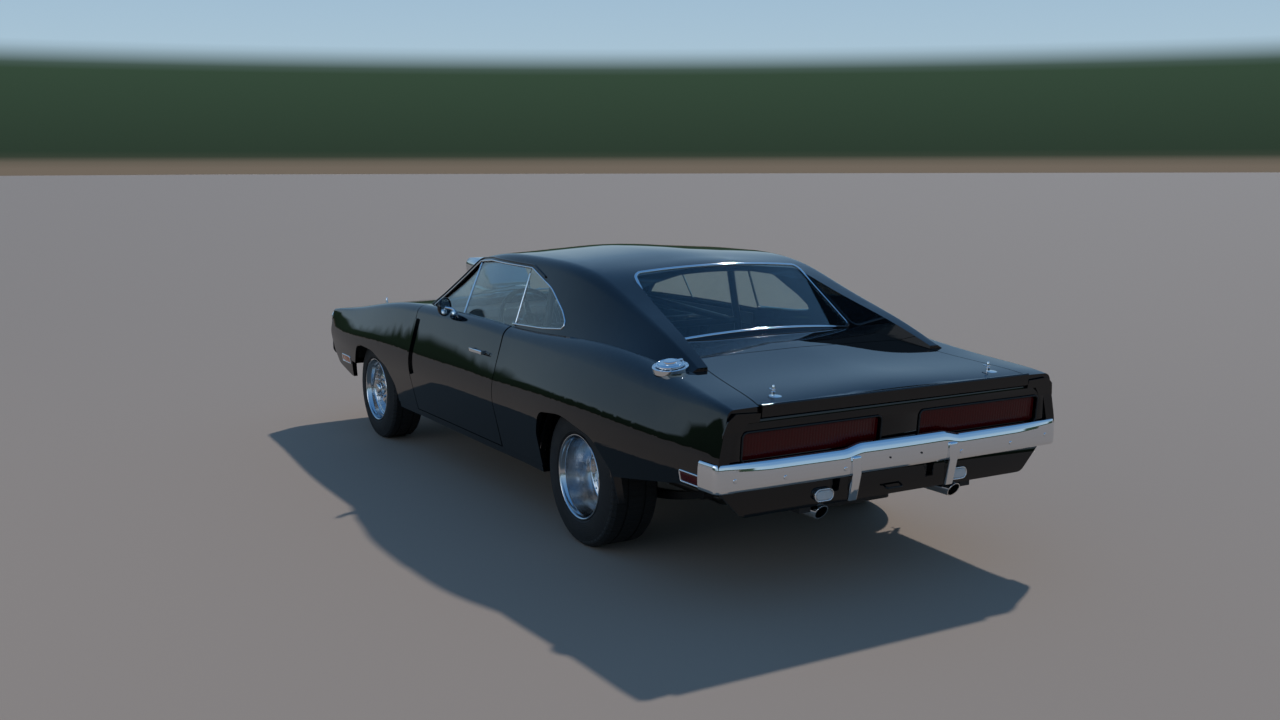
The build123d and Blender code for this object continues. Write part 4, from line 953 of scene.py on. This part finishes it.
# %% [markdown]
# ## Bright trim round the glass
#
# The recessed rear window has a broad chrome surround. It is drawn flat in the window's
# own plane as a rounded trapezoid, swept with a flat oval, and then bowed like the glass.

# %% Rear window surround
BACK_LOW, BACK_TOP = Vector((-1600, 0, 1040)), Vector((-1172, 0, 1346))
back_run = (BACK_TOP - BACK_LOW).normalized()
back_out = Vector((-back_run.z, 0, back_run.x))
back_place = Matrix((-Vector((0, 1, 0)), back_run, back_out)).transposed().to_4x4()
back_place.translation = BACK_LOW * MM
BACK_RADIUS = 4200
corners = [(0, 13), (568, 13), (508, 514.5), (-508, 514.5), (-568, 13), (0, 13)]
outline = rounded(corners, [0, 46, 46, 46, 46, 0])[:-1]
dense = []
for first, second in zip(outline, np.roll(outline, -1, axis=0)):
    steps = max(1, int(np.linalg.norm(second - first) // 40))
    dense += [(*(first + (second - first) * k / steps), 1.5) for k in range(steps)]
surround = bar(dense, 0, True, (7.0, 3.5))
reshaped(surround, lambda u, v, w: (u, v, w - BACK_RADIUS + math.sqrt(BACK_RADIUS**2 - u * u)))
finish(placed(surround, back_place), "rear_window_surround", chrome)

# %% [markdown]
# The hardtop's side glass sits in a bright frame. Its line is the CAD's window opening,
# laid on the roof's skin by a ray from the side. A drip rail runs above it, the vent
# window has an upright bar, and another bar stands between the door and quarter glass.

# %% Side window frames
SIDE_WINDOW = (
    (838, 972), (812, 996), (345, 1286), (150, 1303), (-440, 1300), (-720, 1215), (-915, 1112), (-1012, 1036),
    (-760, 1012), (-452, 1000), (-402, 1000),
)
SIDE_ROUNDING = [0, 8, 20, 300, 90, 400, 60, 22, 300, 12, 0]


def on_roof(x, z, out=0.0):
    """The roof skin's point at a station and height, moved outwards, in millimetres."""
    hit, normal = roof_skin.met((x, 1300, z), FROM_LEFT)
    return hit + np.array(normal if normal.y > 0 else -normal) * out


def laid_on_roof(path, out, spacing=25.0):
    length = float(np.sum(np.linalg.norm(np.diff(path, axis=0), axis=1)))
    return [on_roof(x, z, out) for x, z in spread(path, max(3, int(length / spacing)))]


opening = rounded(SIDE_WINDOW, SIDE_ROUNDING)
both_sides(bar(laid_on_roof(opening, 0.5), 4.5), "side_window_frame_left", chrome)
rail = rounded([(860, 985), (352, 1301), (150, 1319), (-452, 1315), (-620, 1264)], [0, 22, 300, 90, 0])
both_sides(bar(laid_on_roof(rail, 2.0), 5.5), "drip_rail_left", paint)


def on_glass(x, z):
    return on_roof(x, z) - (0, 11, 0)


vent_bar = bar([on_glass(318 + 27 * (z - 985) / 290, z) for z in range(985, 1276, 29)], 6.0)
both_sides(vent_bar, "vent_window_bar_left", chrome, "door_left")
quarter_bar = bar([on_glass(-408, z) for z in range(1004, 1290, 22)], 5.5)
both_sides(quarter_bar, "quarter_glass_bar_left", chrome)
belt = bar([(x, 820, 977 + 3 * (1 - ((x - 240) / 640) ** 2)) for x in range(-390, 740, 40)], 4.0)
both_sides(belt, "door_glass_seal_left", seal, "door_left")

# %% [markdown]
# The windshield's surround is one bar round the bowed glass. Its sides run 38 mm inside the
# roof's skin, which a ray from the side gives at each height.

# %% Windshield surround
SHIELD_LOW, SHIELD_TOP = np.array((924.6, 1028.5)), np.array((368.0, 1325.5))
SHIELD_RADIUS = 5800
INTO_GLASS = np.array((-0.471, 0, -0.882))


def on_shield(share, y, lift=0.0):
    """A point of the bowed windshield: a share of the way up, and out to a half width."""
    x, z = SHIELD_LOW + (SHIELD_TOP - SHIELD_LOW) * share
    sag = SHIELD_RADIUS - math.sqrt(SHIELD_RADIUS**2 - y * y) - lift
    return np.array((x, y, z)) + INTO_GLASS * sag


shares = np.linspace(0.02, 0.97, 14)
widths = [on_roof(*(SHIELD_LOW + (SHIELD_TOP - SHIELD_LOW) * share))[1] - 38 for share in shares]
right_edge = [on_shield(share, -width) for share, width in zip(shares, widths)]
left_edge = [on_shield(share, width) for share, width in zip(shares, widths)]
top_edge = [on_shield(0.995, y) for y in np.linspace(widths[-1] - 25, 25 - widths[-1], 18)]
low_edge = [on_shield(0.0, y) for y in np.linspace(25 - widths[0], widths[0] - 25, 20)]
shield_line = left_edge + top_edge + right_edge[::-1] + low_edge
finish(bar(shield_line, 6.0, True), "windshield_surround", chrome)

# %% [markdown]
# ## Small bright pieces
#
# The fuel filler is a bolted ring with a hinged cap. Both are turned, because each is a
# body of revolution about one tilted axis. The bolts are buttons round the ring.

# %% Fuel filler
filler_place = towards((-1981, 798, 972), (-0.1045, 0.1384, 0.9848), (0, 1, 0))
UPRIGHT = Matrix.Rotation(math.radians(90), 4, "X")


def turned_on(place, profile, steps=48):
    """Turn a profile of (radius, height) about a place's own Z axis."""
    return placed(turned(profile, steps=steps), place @ UPRIGHT)


def moved(place, x, y, z):
    """A place shifted in its own directions, in millimetres."""
    return place @ Matrix.Translation(Vector((x, y, z)) * MM)


flange_profile = [
    (62, -45), (66, -45), (66, -18), (79, -18), (82, 3.5), (82, 6), (80, 7.8), (70, 8), (68, 7), (62, 7),
    (62, -45),
]
pieces = [turned_on(filler_place, flange_profile, 64)]
for angle in np.arange(12) * math.tau / 12:
    spot = moved(filler_place, 75 * math.cos(angle), 75 * math.sin(angle), 7.5)
    pieces.append(disc(3.6, 3.0, spot, 1.2, 12))
finish(pieces, "fuel_filler_ring", chrome, ["fuel_filler"])
cap_profile = [
    (0, 9), (64, 9), (65.5, 11), (65.5, 17), (63, 20), (58, 21), (55, 19.5), (50, 19.5), (47, 22), (38, 22),
    (33, 21.5), (30, 23), (29, 30), (26, 32.5), (0, 32.5),
]
lever = placed(block((-9, -64, 21), (9, -20, 27), 2.5), filler_place)
cap = turned_on(filler_place, cap_profile, 64)
finish([cap, lever], "fuel_filler_cap", chrome, ["filler_cap"], "filler_cap")

# %% [markdown]
# The mirror is a chrome foot and stalk with a round black shell, whose glass is set in
# and looks back towards the driver.

# %% Mirror
foot_place = towards((366, 848, 970), (0, 0, 1), (0, 1, 0))
foot = turned_on(foot_place, [(0, 0.5), (19.5, 0.5), (19, 22), (14, 30), (0, 32)], 32)
stalk = bar([(366, 848, 998), (370, 856, 1005), (378, 872, 1011), (390, 898, 1017)], 8.5)
finish([foot, stalk], "mirror_foot", chrome, ["door_mirror"], "door_left")
head_place = towards((392, 904, 1021), (-math.cos(math.radians(30)), -0.5, 0))
shell_profile = [
    (50, 15), (54, 16.5), (55.5, 14), (55, 4), (50, -8), (38, -14.5), (18, -16.5), (0, -16.8), (0, -12),
    (47, -4), (50, 15),
]
finish(turned_on(head_place, shell_profile), "mirror_shell", paint, body="door_left")
mirror_glass = turned_on(head_place, [(0, 11.5), (49, 11), (49, 8), (0, 8)])
finish(mirror_glass, "mirror_glass", chrome, body="door_left")

# %% [markdown]
# Hood and lid are held by racing pins: a round scuff plate, a pin through it and a wire
# clip through the pin.

# %% Pins, handles and side markers
PLATE_PROFILE = [(0, 5), (18, 4.5), (34, 2.5), (42, 0.5), (42, -2), (0, -2)]
PIN_PROFILE = [(0, 46), (4, 45), (6, 40), (6, 20), (9, 17), (9, 3), (14, 2), (0, 1)]
CLIP_LINE = np.array(((-16, 3, 26), (-4, 8, 27), (22, 6, 27), (30, 0, 27), (22, -6, 27), (-14, -1, 28)))


def lock_pins(name, body, x, slope):
    """A pair of pins on the body's skin at a station, square to its slope along the car."""
    pieces = []
    for y in (612, -612):
        foot = body_skin.met((x, y, 1300), FROM_ABOVE)[0] + (0, 0, 0.5)
        place = towards(foot, (-slope, 0, 1), (0, 1, 0))
        pieces += [turned_on(place, PLATE_PROFILE), turned_on(place, PIN_PROFILE, 20)]
        pieces.append(bar(foot + CLIP_LINE, 1.6))
    finish(pieces, name, chrome, body=body)


lock_pins("trunk_pins", "trunk_lid", -2491, 0.03)
lock_pins("hood_pins", "hood", 2204, -0.12)
for side in ("left", "right"):
    dressed(f"door_handle_{side}", f"door_handle_{side}_chrome", chrome, 2.0, body=f"door_{side}")
markers = merged_copy("side_markers")
pick_faces(markers, lambda centre, normal: centre.x > 0)
bpy.ops.mesh.separate(type="SELECTED")
bpy.ops.object.mode_set(mode="OBJECT")
front_markers = [o for o in bpy.context.selected_objects if o != markers][0]
finish(rounded_edges(markers, 1.5), "rear_side_markers", red_lens, ["side_markers"])
finish(rounded_edges(front_markers, 1.5), "front_side_markers", amber_lens)
for name, x, z in (("rear_marker_frame_left", -2404, 573), ("front_marker_frame_left", 2175, 483)):
    around = [body_skin.met((u, 1300, v), FROM_LEFT)[0] + (0, 1.5, 0) for u, v in loop_of(186, 48, 7, (x, z))]
    both_sides(bar(around, 4.2, True), name, chrome)

# %% [markdown]
# Two satin black wipers rest on the glass: a post, a bent arm and a blade that follows the
# bow of the windshield.

# %% Wipers
for number, y in ((1, 470), (2, -120)):
    pivot = on_shield(0.0, y) + (26, 0, 2)
    arm = bar([pivot, on_shield(0.05, y - 60, 16), on_shield(0.11, y - 260, 14)], 3.2)
    blade = bar([on_shield(0.03, y + 40 - 420 * s, 7) for s in np.linspace(0, 1, 9)], 4.0)
    post = disc(10, 16, towards(pivot - (0, 0, 12), (0.4, 0, 1), (0, 1, 0)), 3.0, 24)
    finish([arm, blade, post], f"wiper_{number}", cage_paint)

# %% [markdown]
# ## Supercharger
#
# Through the hood stands a ribbed blower case with a polished scoop on top. Three
# throttle plates on one shaft show in the scoop's mouth, and a toothed belt runs over the
# pulleys in front.

# %% Supercharger
SCOOP = towards((1745, 0, 1118), (0.98, 0, 0.2))
pieces = [rounded_edges(merged_copy("supercharger"), 3.0, 2)]
pieces += [block((x, -118, 1004), (x + 7, 118, 1016)) for x in range(1325, 1400, 18)]
for s in (1, -1):
    pieces += [block((1330, s * 130 - 3, z), (1770, s * 130 + 3, z + 8)) for z in range(830, 980, 22)]
    pieces.append(block((1400, s * 150 - 3, 1032), (1790, s * 150 + 2, 1044), 3.0))
    pieces += [disc(5.5, 4, towards((x, s * 151, 1038), (0, s, 0)), 1.5, 12) for x in range(1430, 1780, 56)]
finish(pieces, "blower_and_scoop", polished, ["supercharger"])
shaft = bar([(1745, -128, 1118), (1745, 128, 1118)], 5.0)
plates = [plate(loop_of(74, 92, 30, (y, 0)), 3.0, SCOOP, 1.0) for y in (-84, 0, 84)]
finish([shaft, *plates], "throttle_plates", chrome)
# a black plate behind the throttle plates paints the shade inside the scoop
finish(plate(loop_of(270, 104, 34), 3.0, towards((1709, 0, 1118), (1, 0, 0))), "scoop_inside_shade_plate", seal)
# each pulley's Y, height and radius, then the belt's first and last angle on it, points and radius
BELT_RUN = ((0, 905, 46, 172, 20, 14, 50), (95, 700, 34, 20, -20, 8, 38), (0, 520, 74, -10, -172, 16, 78))
pulleys, belt_line = [], []
for y, z, r, first, last, count, reach in BELT_RUN:
    groove = [
        (0, 0), (r + 4, 0), (r + 4, 3), (r, 4), (r, 52), (r + 4, 53), (r + 4, 56), (r * 0.6, 56),
        (r * 0.5, 46), (0, 46),
    ]
    pulleys.append(turned_on(towards((1795, y, z), (1, 0, 0)), groove))
    for angle in np.radians(np.linspace(first, last, count)):
        belt_line.append((1824, y + reach * math.cos(angle), z + reach * math.sin(angle)))
finish(pulleys, "blower_pulleys", polished)
finish(bar(belt_line, 0, True, (3.0, 24.0)), "blower_belt", seal)

# %% [markdown]
# ## Cabin
#
# The seats are foam under grained vinyl. Each pad starts as a slightly smaller block,
# which the cloth simulation blows up like a sewn cover, so its sides pull in between the
# corners. The sewn channels are pressed in afterwards, because the remesh would lose them.

# %% Padded seats
# half width and depth of a sewn channel, and where the channels run across a pad
CHANNEL_HALF, CHANNEL_DEPTH = 9.0, 6.0
BUCKET, BENCH = (-95, 0, 95), (-365, -183, 183, 365)


def pad(name, low, high, place, swell, channels):
    """A pad between two corners in its own place; local Z is its crown."""
    low, high = Vector(low) * MM, Vector(high) * MM
    piece = made(bpy.ops.mesh.primitive_cube_add, size=1, location=(low + high) / 2, scale=high - low)
    add_modifier(piece, "BEVEL", width=min(high - low) * 0.3, segments=3)
    add_modifier(piece, "REMESH", mode="VOXEL", voxel_size=0.016)
    settle(piece)
    rest = np.array([v.co for v in piece.data.vertices])
    cloth = piece.modifiers.new("Cloth", "CLOTH")
    cloth.settings.use_pressure = True
    cloth.settings.uniform_pressure_force = 4.0
    cloth.settings.effector_weights.gravity = 0.0
    for frame_number in range(1, 21):
        bpy.context.scene.frame_set(frame_number)
    choose(piece)
    bpy.ops.object.modifier_apply(modifier=cloth.name)
    bpy.context.scene.frame_set(1)
    # the cover's stitching lets it swell only so far
    change = np.array([v.co for v in piece.data.vertices]) - rest
    reach = np.linalg.norm(change, axis=1, keepdims=True)
    change *= np.minimum(1.0, swell * MM / np.maximum(reach, 1e-9))
    for vertex, point in zip(piece.data.vertices, rest + change):
        vertex.co = point
    add_modifier(piece, "SUBSURF", levels=1, render_levels=1)
    settle(piece)
    for vertex in piece.data.vertices:
        if vertex.normal.z > 0.2:
            for line in channels:
                gap = (vertex.co.y / MM - line) / CHANNEL_HALF
                vertex.co.z -= CHANNEL_DEPTH * MM * math.exp(-gap * gap)
    choose(piece)
    bpy.ops.object.shade_smooth()
    finish(placed(piece, place), name, vinyl)


def leaning(x, y, z, lean):
    """A seat's place in millimetres, leaning back by an angle in degrees."""
    return Matrix.Translation(Vector((x, y, z)) * MM) @ Matrix.Rotation(math.radians(lean), 4, "Y")


bases = []
for side, s in (("left", 1), ("right", -1)):
    y, rear_y = s * 365, s * 357.5
    cushion, back = leaning(80, y, 442, -3.5), leaning(-214, y, 712, -102.5)
    pad(f"bucket_cushion_{side}", (-235, -188, -38), (235, 188, 40), cushion, 12, BUCKET)
    pad(f"bucket_back_{side}", (-262, -182, -34), (262, 182, 34), back, 11, BUCKET)
    bases.append(block((-160, y - 180, 326), (318, y + 180, 402), 12))
    bases.append(block((-215, y - 150, 380), (-150, y + 150, 450), 12))
    bases.append(block((-960, rear_y - 197.5, 326), (-625, rear_y + 197.5, 420), 10))
pad("bench_cushion", (-160, -545, -60), (150, 545, 62), leaning(-785, 0, 488, 0), 10, BENCH)
pad("bench_back", (-185, -545, -36), (185, 545, 36), leaning(-1008, 0, 735, -106), 10, BENCH)
finish(bases, "seat_bases", vinyl, ["seats"])

# %% [markdown]
# The steering wheel has a padded rim and three polished spokes. Their drilled holes are black
# discs on both faces of each spoke, which paint the shade in the holes. It turns about the raked
# column, so everything on it is built on that axis.

# %% Steering wheel
RAKE = math.radians(22)
wheel_place = towards((345, 365, 905), (-math.cos(RAKE), 0, math.sin(RAKE)))
size = {"major_radius": 0.190, "minor_radius": 0.0135, "location": (0, 0, 0.012)}
wheel_rim = made(bpy.ops.mesh.primitive_torus_add, major_segments=72, minor_segments=14, **size)
bpy.ops.object.shade_smooth()
finish(placed(wheel_rim, wheel_place), "steering_rim", vinyl, ["steering_wheel"], "steering_wheel")
hub = turned_on(wheel_place, [(0, -26), (26, -26), (30, -4), (44, 0), (46, 6), (44, 11), (0, 11)])
spokes, hole_shade_discs = [hub], []
for degrees in (90, 210, 330):
    spoke = wheel_place @ Matrix.Rotation(math.radians(degrees), 4, "Z")
    spokes.append(plate([(34, -19), (182, -11), (182, 11), (34, 19)], 3.5, moved(spoke, 0, 0, 6), 1.2))
    # black discs on both faces of each spoke paint the shade of its drilled holes
    for reach, radius in ((62, 8.0), (92, 7.0), (120, 6.0), (146, 5.0)):
        hole_shade_discs += [disc(radius, 1.2, moved(spoke, reach, 0, lift), 0.3, 20) for lift in (8.8, 3.4)]
finish(spokes, "steering_spokes", polished, body="steering_wheel")
horn = turned_on(wheel_place, [(0, 11), (26, 11), (28, 14), (25, 18), (0, 19)], 40)
finish([horn, *hole_shade_discs], "horn_button_and_hole_shades", seal, body="steering_wheel")

# %% [markdown]
# The instruments are dark dials in bright rings, set in the dashboard's sloping face.

# %% Dashboard
dressed("dashboard", "dashboard_moulding", dash_skin, 6.0, 3)


def on_dash(y, z, lift=0.0):
    """A place on the dashboard's face, which leans in towards its foot."""
    return towards((640 + (900 - z) * 20 / 140 - lift, y, z), (-0.99, 0, -0.141))


DIALS = ((300, 832, 47), (430, 832, 47), (215, 856, 25), (215, 796, 25), (516, 856, 25), (516, 796, 25))
rings, faces, marks = [], [], []
for y, z, r in DIALS:
    place = on_dash(y, z)
    rings.append(turned_on(place, [(r, -2), (r + 4, -2), (r + 4, 5), (r + 1, 8), (r - 2, 6), (r, -2)], 40))
    faces.append(disc(r - 1, 2.0, place, 0.4))
    needle = moved(place, 0, 0, 3) @ Matrix.Rotation(0.8 + y * 0.01, 4, "Z")
    marks.append(plate([(-2, -3), (2, -3), (0.6, r * 0.8), (-0.6, r * 0.8)], 1.0, needle))
    for angle in np.linspace(-2.2, 2.2, 9 if r > 30 else 5):
        tick = moved(place @ Matrix.Rotation(angle, 4, "Z"), 0, r - 8, 2)
        marks.append(plate([(-0.8, -3), (0.8, -3), (0.8, 4), (-0.8, 4)], 0.8, tick))
finish(rings, "dial_rings", chrome)
finish(faces, "dial_faces", seal)
finish(marks, "dial_marks", clear_lens)
radio = [block((634, -70, 795), (650, 110, 850), 3), block((634, -560, 800), (646, -250, 870), 5)]
finish(radio, "radio_and_glovebox", dash_skin)
knobs = [disc(11, 14, on_dash(y, z, 4), 3, 24) for y, z in ((-50, 822), (90, 822), (150, 822), (150, 862))]
knobs.append(block((628, -415, 862), (640, -395, 870)))
finish(knobs, "dash_knobs", chrome)

# %% [markdown]
# Door cards are one padded board with an armrest, a bright strip and a window crank.

# %% Door cards
card = block((-378, 779, 348), (838, 790, 958), 5)
armrest = block((-160, 736, 610), (330, 782, 655), 14)
pocket = block((380, 770, 400), (800, 781, 560), 8)
both_sides([card, armrest, pocket], "door_card_left", vinyl, "door_left")
strip = block((-360, 776.5, 878), (820, 780, 890), 1.5)
crank = bar([(150, 774, 720), (150, 762, 715), (150, 758, 690), (150, 758, 640)], 4.5)
boss = disc(20, 14, towards((150, 779, 722), (0, -1, 0)), 4, 28)
knob = disc(10, 26, towards((150, 760, 640), (0, -1, 0)), 4, 24)
pull = bar([(520, 778, 800), (520, 762, 800), (600, 762, 800), (600, 778, 800)], 5)
both_sides([strip, crank, boss, knob, pull], "door_card_chrome_left", chrome, "door_left")

# %% [markdown]
# Carpet covers the floor on both sides and the tunnel between the seats. The console carries
# a bent shifter with a ball, and the inside mirror hangs from the windshield's head.

# %% Carpet, shifter and mirror
mats = [block((-600, s * 430 - 255, 325.4), (830, s * 430 + 255, 331)) for s in (1, -1)]
finish(mats, "floor_carpet", carpet)
finish(block((-590, -163, 326), (1000, 163, 470), 30), "tunnel_carpet", carpet)
finish(block((-120, -95, 462), (560, 95, 560), 24), "console", dash_skin)
lever = bar([(250, 0, 556), (240, 0, 640), (215, 0, 730)], 7)
ball_place = towards((213, 0, 726), (-0.2, 0, 1), (0, 1, 0))
ball = turned_on(ball_place, [(0, 0), (14, 4), (22, 18), (20, 34), (10, 44), (0, 46)], 32)
gate = block((180, -30, 559), (320, 30, 564))
finish([lever, ball, gate], "shifter", chrome)
inside_mirror = block((360, -120, 1232), (372, 120, 1284), 5)
stem = bar([(372, 0, 1275), (392, 0, 1300)], 5)
finish([inside_mirror, stem], "inside_mirror", seal)

# %% [markdown]
# The roll cage keeps the CAD's tubes. The headliner is one stretched cloth 4 mm under the
# roof's inner skin, laid out by rays down to the roof.

# %% Roll cage and headliner
dressed("roll_cage", "roll_cage_tubes", cage_paint, 0.5)
LINER_HALF, LINER_GAP = 560.0, 39
stations, columns = np.linspace(-1080, 330, 48), 31
points = []
for x in stations:
    edge = roof_skin.met((x, 1300, 1260), FROM_LEFT)[0]
    reach = LINER_HALF if edge is None else min(LINER_HALF, edge[1] - 130)
    for y in np.linspace(-reach, reach, columns):
        top = roof_skin.met((x, y, 1600), FROM_ABOVE)[0]
        points.append((x * MM, y * MM, (top[2] - LINER_GAP) * MM))
corners = [row * columns + column for row in range(len(stations) - 1) for column in range(columns - 1)]
faces = [(k, k + 1, k + columns + 1, k + columns) for k in corners]
liner = drawn("headliner", points, [], faces)
add_modifier(liner, "SOLIDIFY", thickness=0.003, offset=-1.0)
bpy.ops.object.shade_smooth()
finish(liner, "headliner", vinyl)

# %% [markdown]
# ## Under the hood and at the nose
#
# The engine is a plain block under the blower, so what shows round it is what an owner
# polishes: two finned rocker covers, a header with four pipes on each side, a radiator
# with its hoses, and the firewall's brake servo.

# %% Engine dress
COVER_TILT = math.radians(18)
covers, ribs = [], []
for s in (1, -1):
    tilt = (-s * COVER_TILT, 0, 0)
    covers.append(block((1110, s * 205 - 52, 800), (1300, s * 205 + 52, 862), 12, tilt))
    covers.append(block((1315, s * 205 - 42, 800), (1725, s * 205 + 42, 858), 12, tilt))
    for across in range(-26, 27, 13):
        y, z = s * 205 + across, 848 - s * across * 0.32
        covers.append(block((1330, y - 2, z), (1710, y + 2, z + 16), 1.2))
    ribs += [block((x, s * 262 - 4, 360), (x + 12, s * 262 + 5, 610)) for x in range(1120, 1740, 70)]
    ribs += [disc(7, 6, towards((x, s * 262, 345), (0, s, 0)), 2, 12) for x in range(1100, 1740, 64)]
finish(covers, "rocker_covers", polished)
finish(ribs, "engine_ribs", iron)
dressed("engine_block", "engine_block_casting", iron, 6.0)
pipes = [block((1150, 300, 330), (1262, 372, 392), 16)]
for k, x in enumerate((1190, 1320, 1450, 1580)):
    line = [(x, 258, 640), (x, 318, 640), (x - 30, 345, 560), (1180 + 18 * k, 335, 380)]
    pipes.append(bar(rounded(line, [0, 40, 50, 0]), 21))
both_sides(pipes, "header_left", steel)
finish(block((2180, -330, 430), (2230, 330, 800), 4), "radiator_core", cage_paint)
tanks = [block((2172, -345, 800), (2238, 345, 842), 12), block((2172, -345, 392), (2238, 345, 430), 12)]
tanks.append(disc(34, 18, towards((2205, 120, 840), (0, 0, 1), (0, 1, 0)), 5, 32))
finish(tanks, "radiator_tanks", polished)
fan = [disc(62, 34, towards((2060, 0, 610), (1, 0, 0)), 8, 36), bar([(1760, 0, 610), (2062, 0, 610)], 22)]
for k in range(6):
    spin = Matrix.Rotation(math.tau * k / 6, 4, "Z") @ Matrix.Rotation(0.35, 4, "X")
    place = towards((2075, 0, 610), (1, 0, 0)) @ spin
    fan.append(plate([(50, -26), (225, -42), (232, 20), (50, 26)], 2.5, place, 0.8))
finish(fan, "cooling_fan", cage_paint)
HOSES = (
    [(1750, 130, 790), (1850, 130, 800), (2060, 190, 770), (2175, 190, 770)],
    [(1750, -150, 470), (1880, -150, 450), (2080, -210, 440), (2175, -210, 440)],
)
finish([bar(rounded(line, [0, 60, 60, 0]), 20) for line in HOSES], "radiator_hoses", seal)
servo_profile = [(0, -1), (108, -1), (112, 6), (112, 26), (104, 44), (60, 54), (0, 56)]
servo = [turned_on(towards((1046, 400, 760), (1, 0, 0)), servo_profile)]
servo.append(block((1100, 372, 742), (1215, 428, 792), 8))
servo += [disc(22, 10, towards((x, 400, 790), (0, 0, 1), (0, 1, 0)), 3, 24) for x in (1130, 1180)]
finish(servo, "brake_servo", cage_paint)

# %% [markdown]
# The grille is moulded in dark plastic. Its slots get thin bright edges, and the covers
# in front of the headlamps and the middle bar get a narrow bright line.

# %% Grille
dressed("grille", "grille_moulding", grille_plastic, 1.2)
edges, ribs = [], []
for s in (1, -1):
    for z in range(559, 760, 25):
        edges.append(block((2539.5, s * 255 - 214, z - 1.2), (2543, s * 255 + 214, z + 1.2), 0.8))
    edges.append(bar([(2546.5, s * 670 + u, 641 + v) for u, v in loop_of(322, 200, 10)], 2.2, True))
    y = s * 670
    ribs += [block((2545.5, y - 150, z), (2549, y + 150, z + 5), 1.5) for z in range(556, 730, 14)]
edges.append(bar([(2552.5, u, 640 + v) for u, v in loop_of(26, 222, 6)], 2.0, True))
finish(edges, "grille_bright_edges", chrome)
finish(ribs, "headlamp_cover_ribs", grille_plastic)

# %% [markdown]
# ## Floor, light and camera
#
# Black paint looks like what it mirrors. So the world has a warm ground, a band of dark
# trees and a sky that deepens upwards, and the floor is a pale, dull grey. A low sun gives
# the shadow its edge, and one soft lamp fills the left side.

# %% Floor
floor = made(bpy.ops.mesh.primitive_plane_add, size=400, location=(0, 0, 0))
floor.name = "studio_floor"
floor.data.materials.append(new_material("warm_grey_floor", "", "#9A8878", 0.95)[0])

# %% World and lamps
world = bpy.data.worlds.new("soft_studio")
bpy.context.scene.world = world
world.use_nodes = True
tree = world.node_tree
tree.nodes.clear()
where = add_node(tree, "ShaderNodeTexCoord").outputs["Generated"]
upward = add_node(tree, "ShaderNodeSeparateXYZ", {"Vector": where}).outputs["Z"]
sky = add_node(tree, "ShaderNodeValToRGB", {"Fac": ranged(tree, upward, 0.0, 1.0, -0.02, 1.0)})
# ground haze, dark trees, pale horizon, then deeper blue upwards
SKY = (
    (0.0, "#6F665C"), (0.018, "#6F665C"), (0.024, "#2C3B30"), (0.085, "#35493A"),
    (0.10, "#A9C3D4"), (0.25, "#86AACB"), (0.6, "#5F8DBE"), (1.0, "#4577AE"),
)
for element in list(sky.color_ramp.elements)[1:]:
    sky.color_ramp.elements.remove(element)
for index, (stop, tone) in enumerate(SKY):
    element = sky.color_ramp.elements[0] if index == 0 else sky.color_ramp.elements.new(stop)
    element.position = stop
    element.color = colour(tone)
ambient = add_node(tree, "ShaderNodeBackground", {"Color": sky.outputs[0]}, {"Strength": 1.0})
add_node(tree, "ShaderNodeOutputWorld", {"Surface": ambient.outputs[0]})


def staged(name, data, location, turn):
    """Put a lamp's or camera's data in the scene."""
    thing = bpy.data.objects.new(name, data)
    bpy.context.scene.collection.objects.link(thing)
    thing.location = location
    thing.rotation_euler = turn.to_euler()
    return thing


def aimed(direction):
    """The turn that points a lamp or camera along a direction."""
    return Vector(direction).to_track_quat("-Z", "Y").to_matrix()


softbox = bpy.data.lights.new("side_softbox", "AREA")
softbox.shape = "RECTANGLE"
softbox.size, softbox.size_y = 9.0, 2.4
softbox.energy = 60
staged("side_softbox", softbox, (-1.0, 9.0, 3.2), aimed((1.0, -9.0, -2.6)))
sun = bpy.data.lights.new("sun", "SUN")
sun.energy = 2.2
sun.angle = math.radians(1.5)
staged("sun", sun, (0, 0, 0), aimed((-0.42, 0.62, -0.78)))

# %% [markdown]
# The camera stands where the photographer stood, at the car's rear left and above its roof.

# %% Camera
camera_data = bpy.data.cameras.new("camera")
camera_data.sensor_width = 36.0
# focal length in pixels over the picture's width in pixels
camera_data.lens = 1301.3 / 1280 * 36.0
camera_data.clip_end = 200
roll = Matrix.Rotation(math.radians(-0.11), 3, "Z")
camera = staged("camera", camera_data, (-6.795, 3.785, 1.869), aimed((7.164, -4.214, -1.269)) @ roll)
scene = bpy.context.scene
scene.camera = camera
scene.view_settings.view_transform = "Standard"
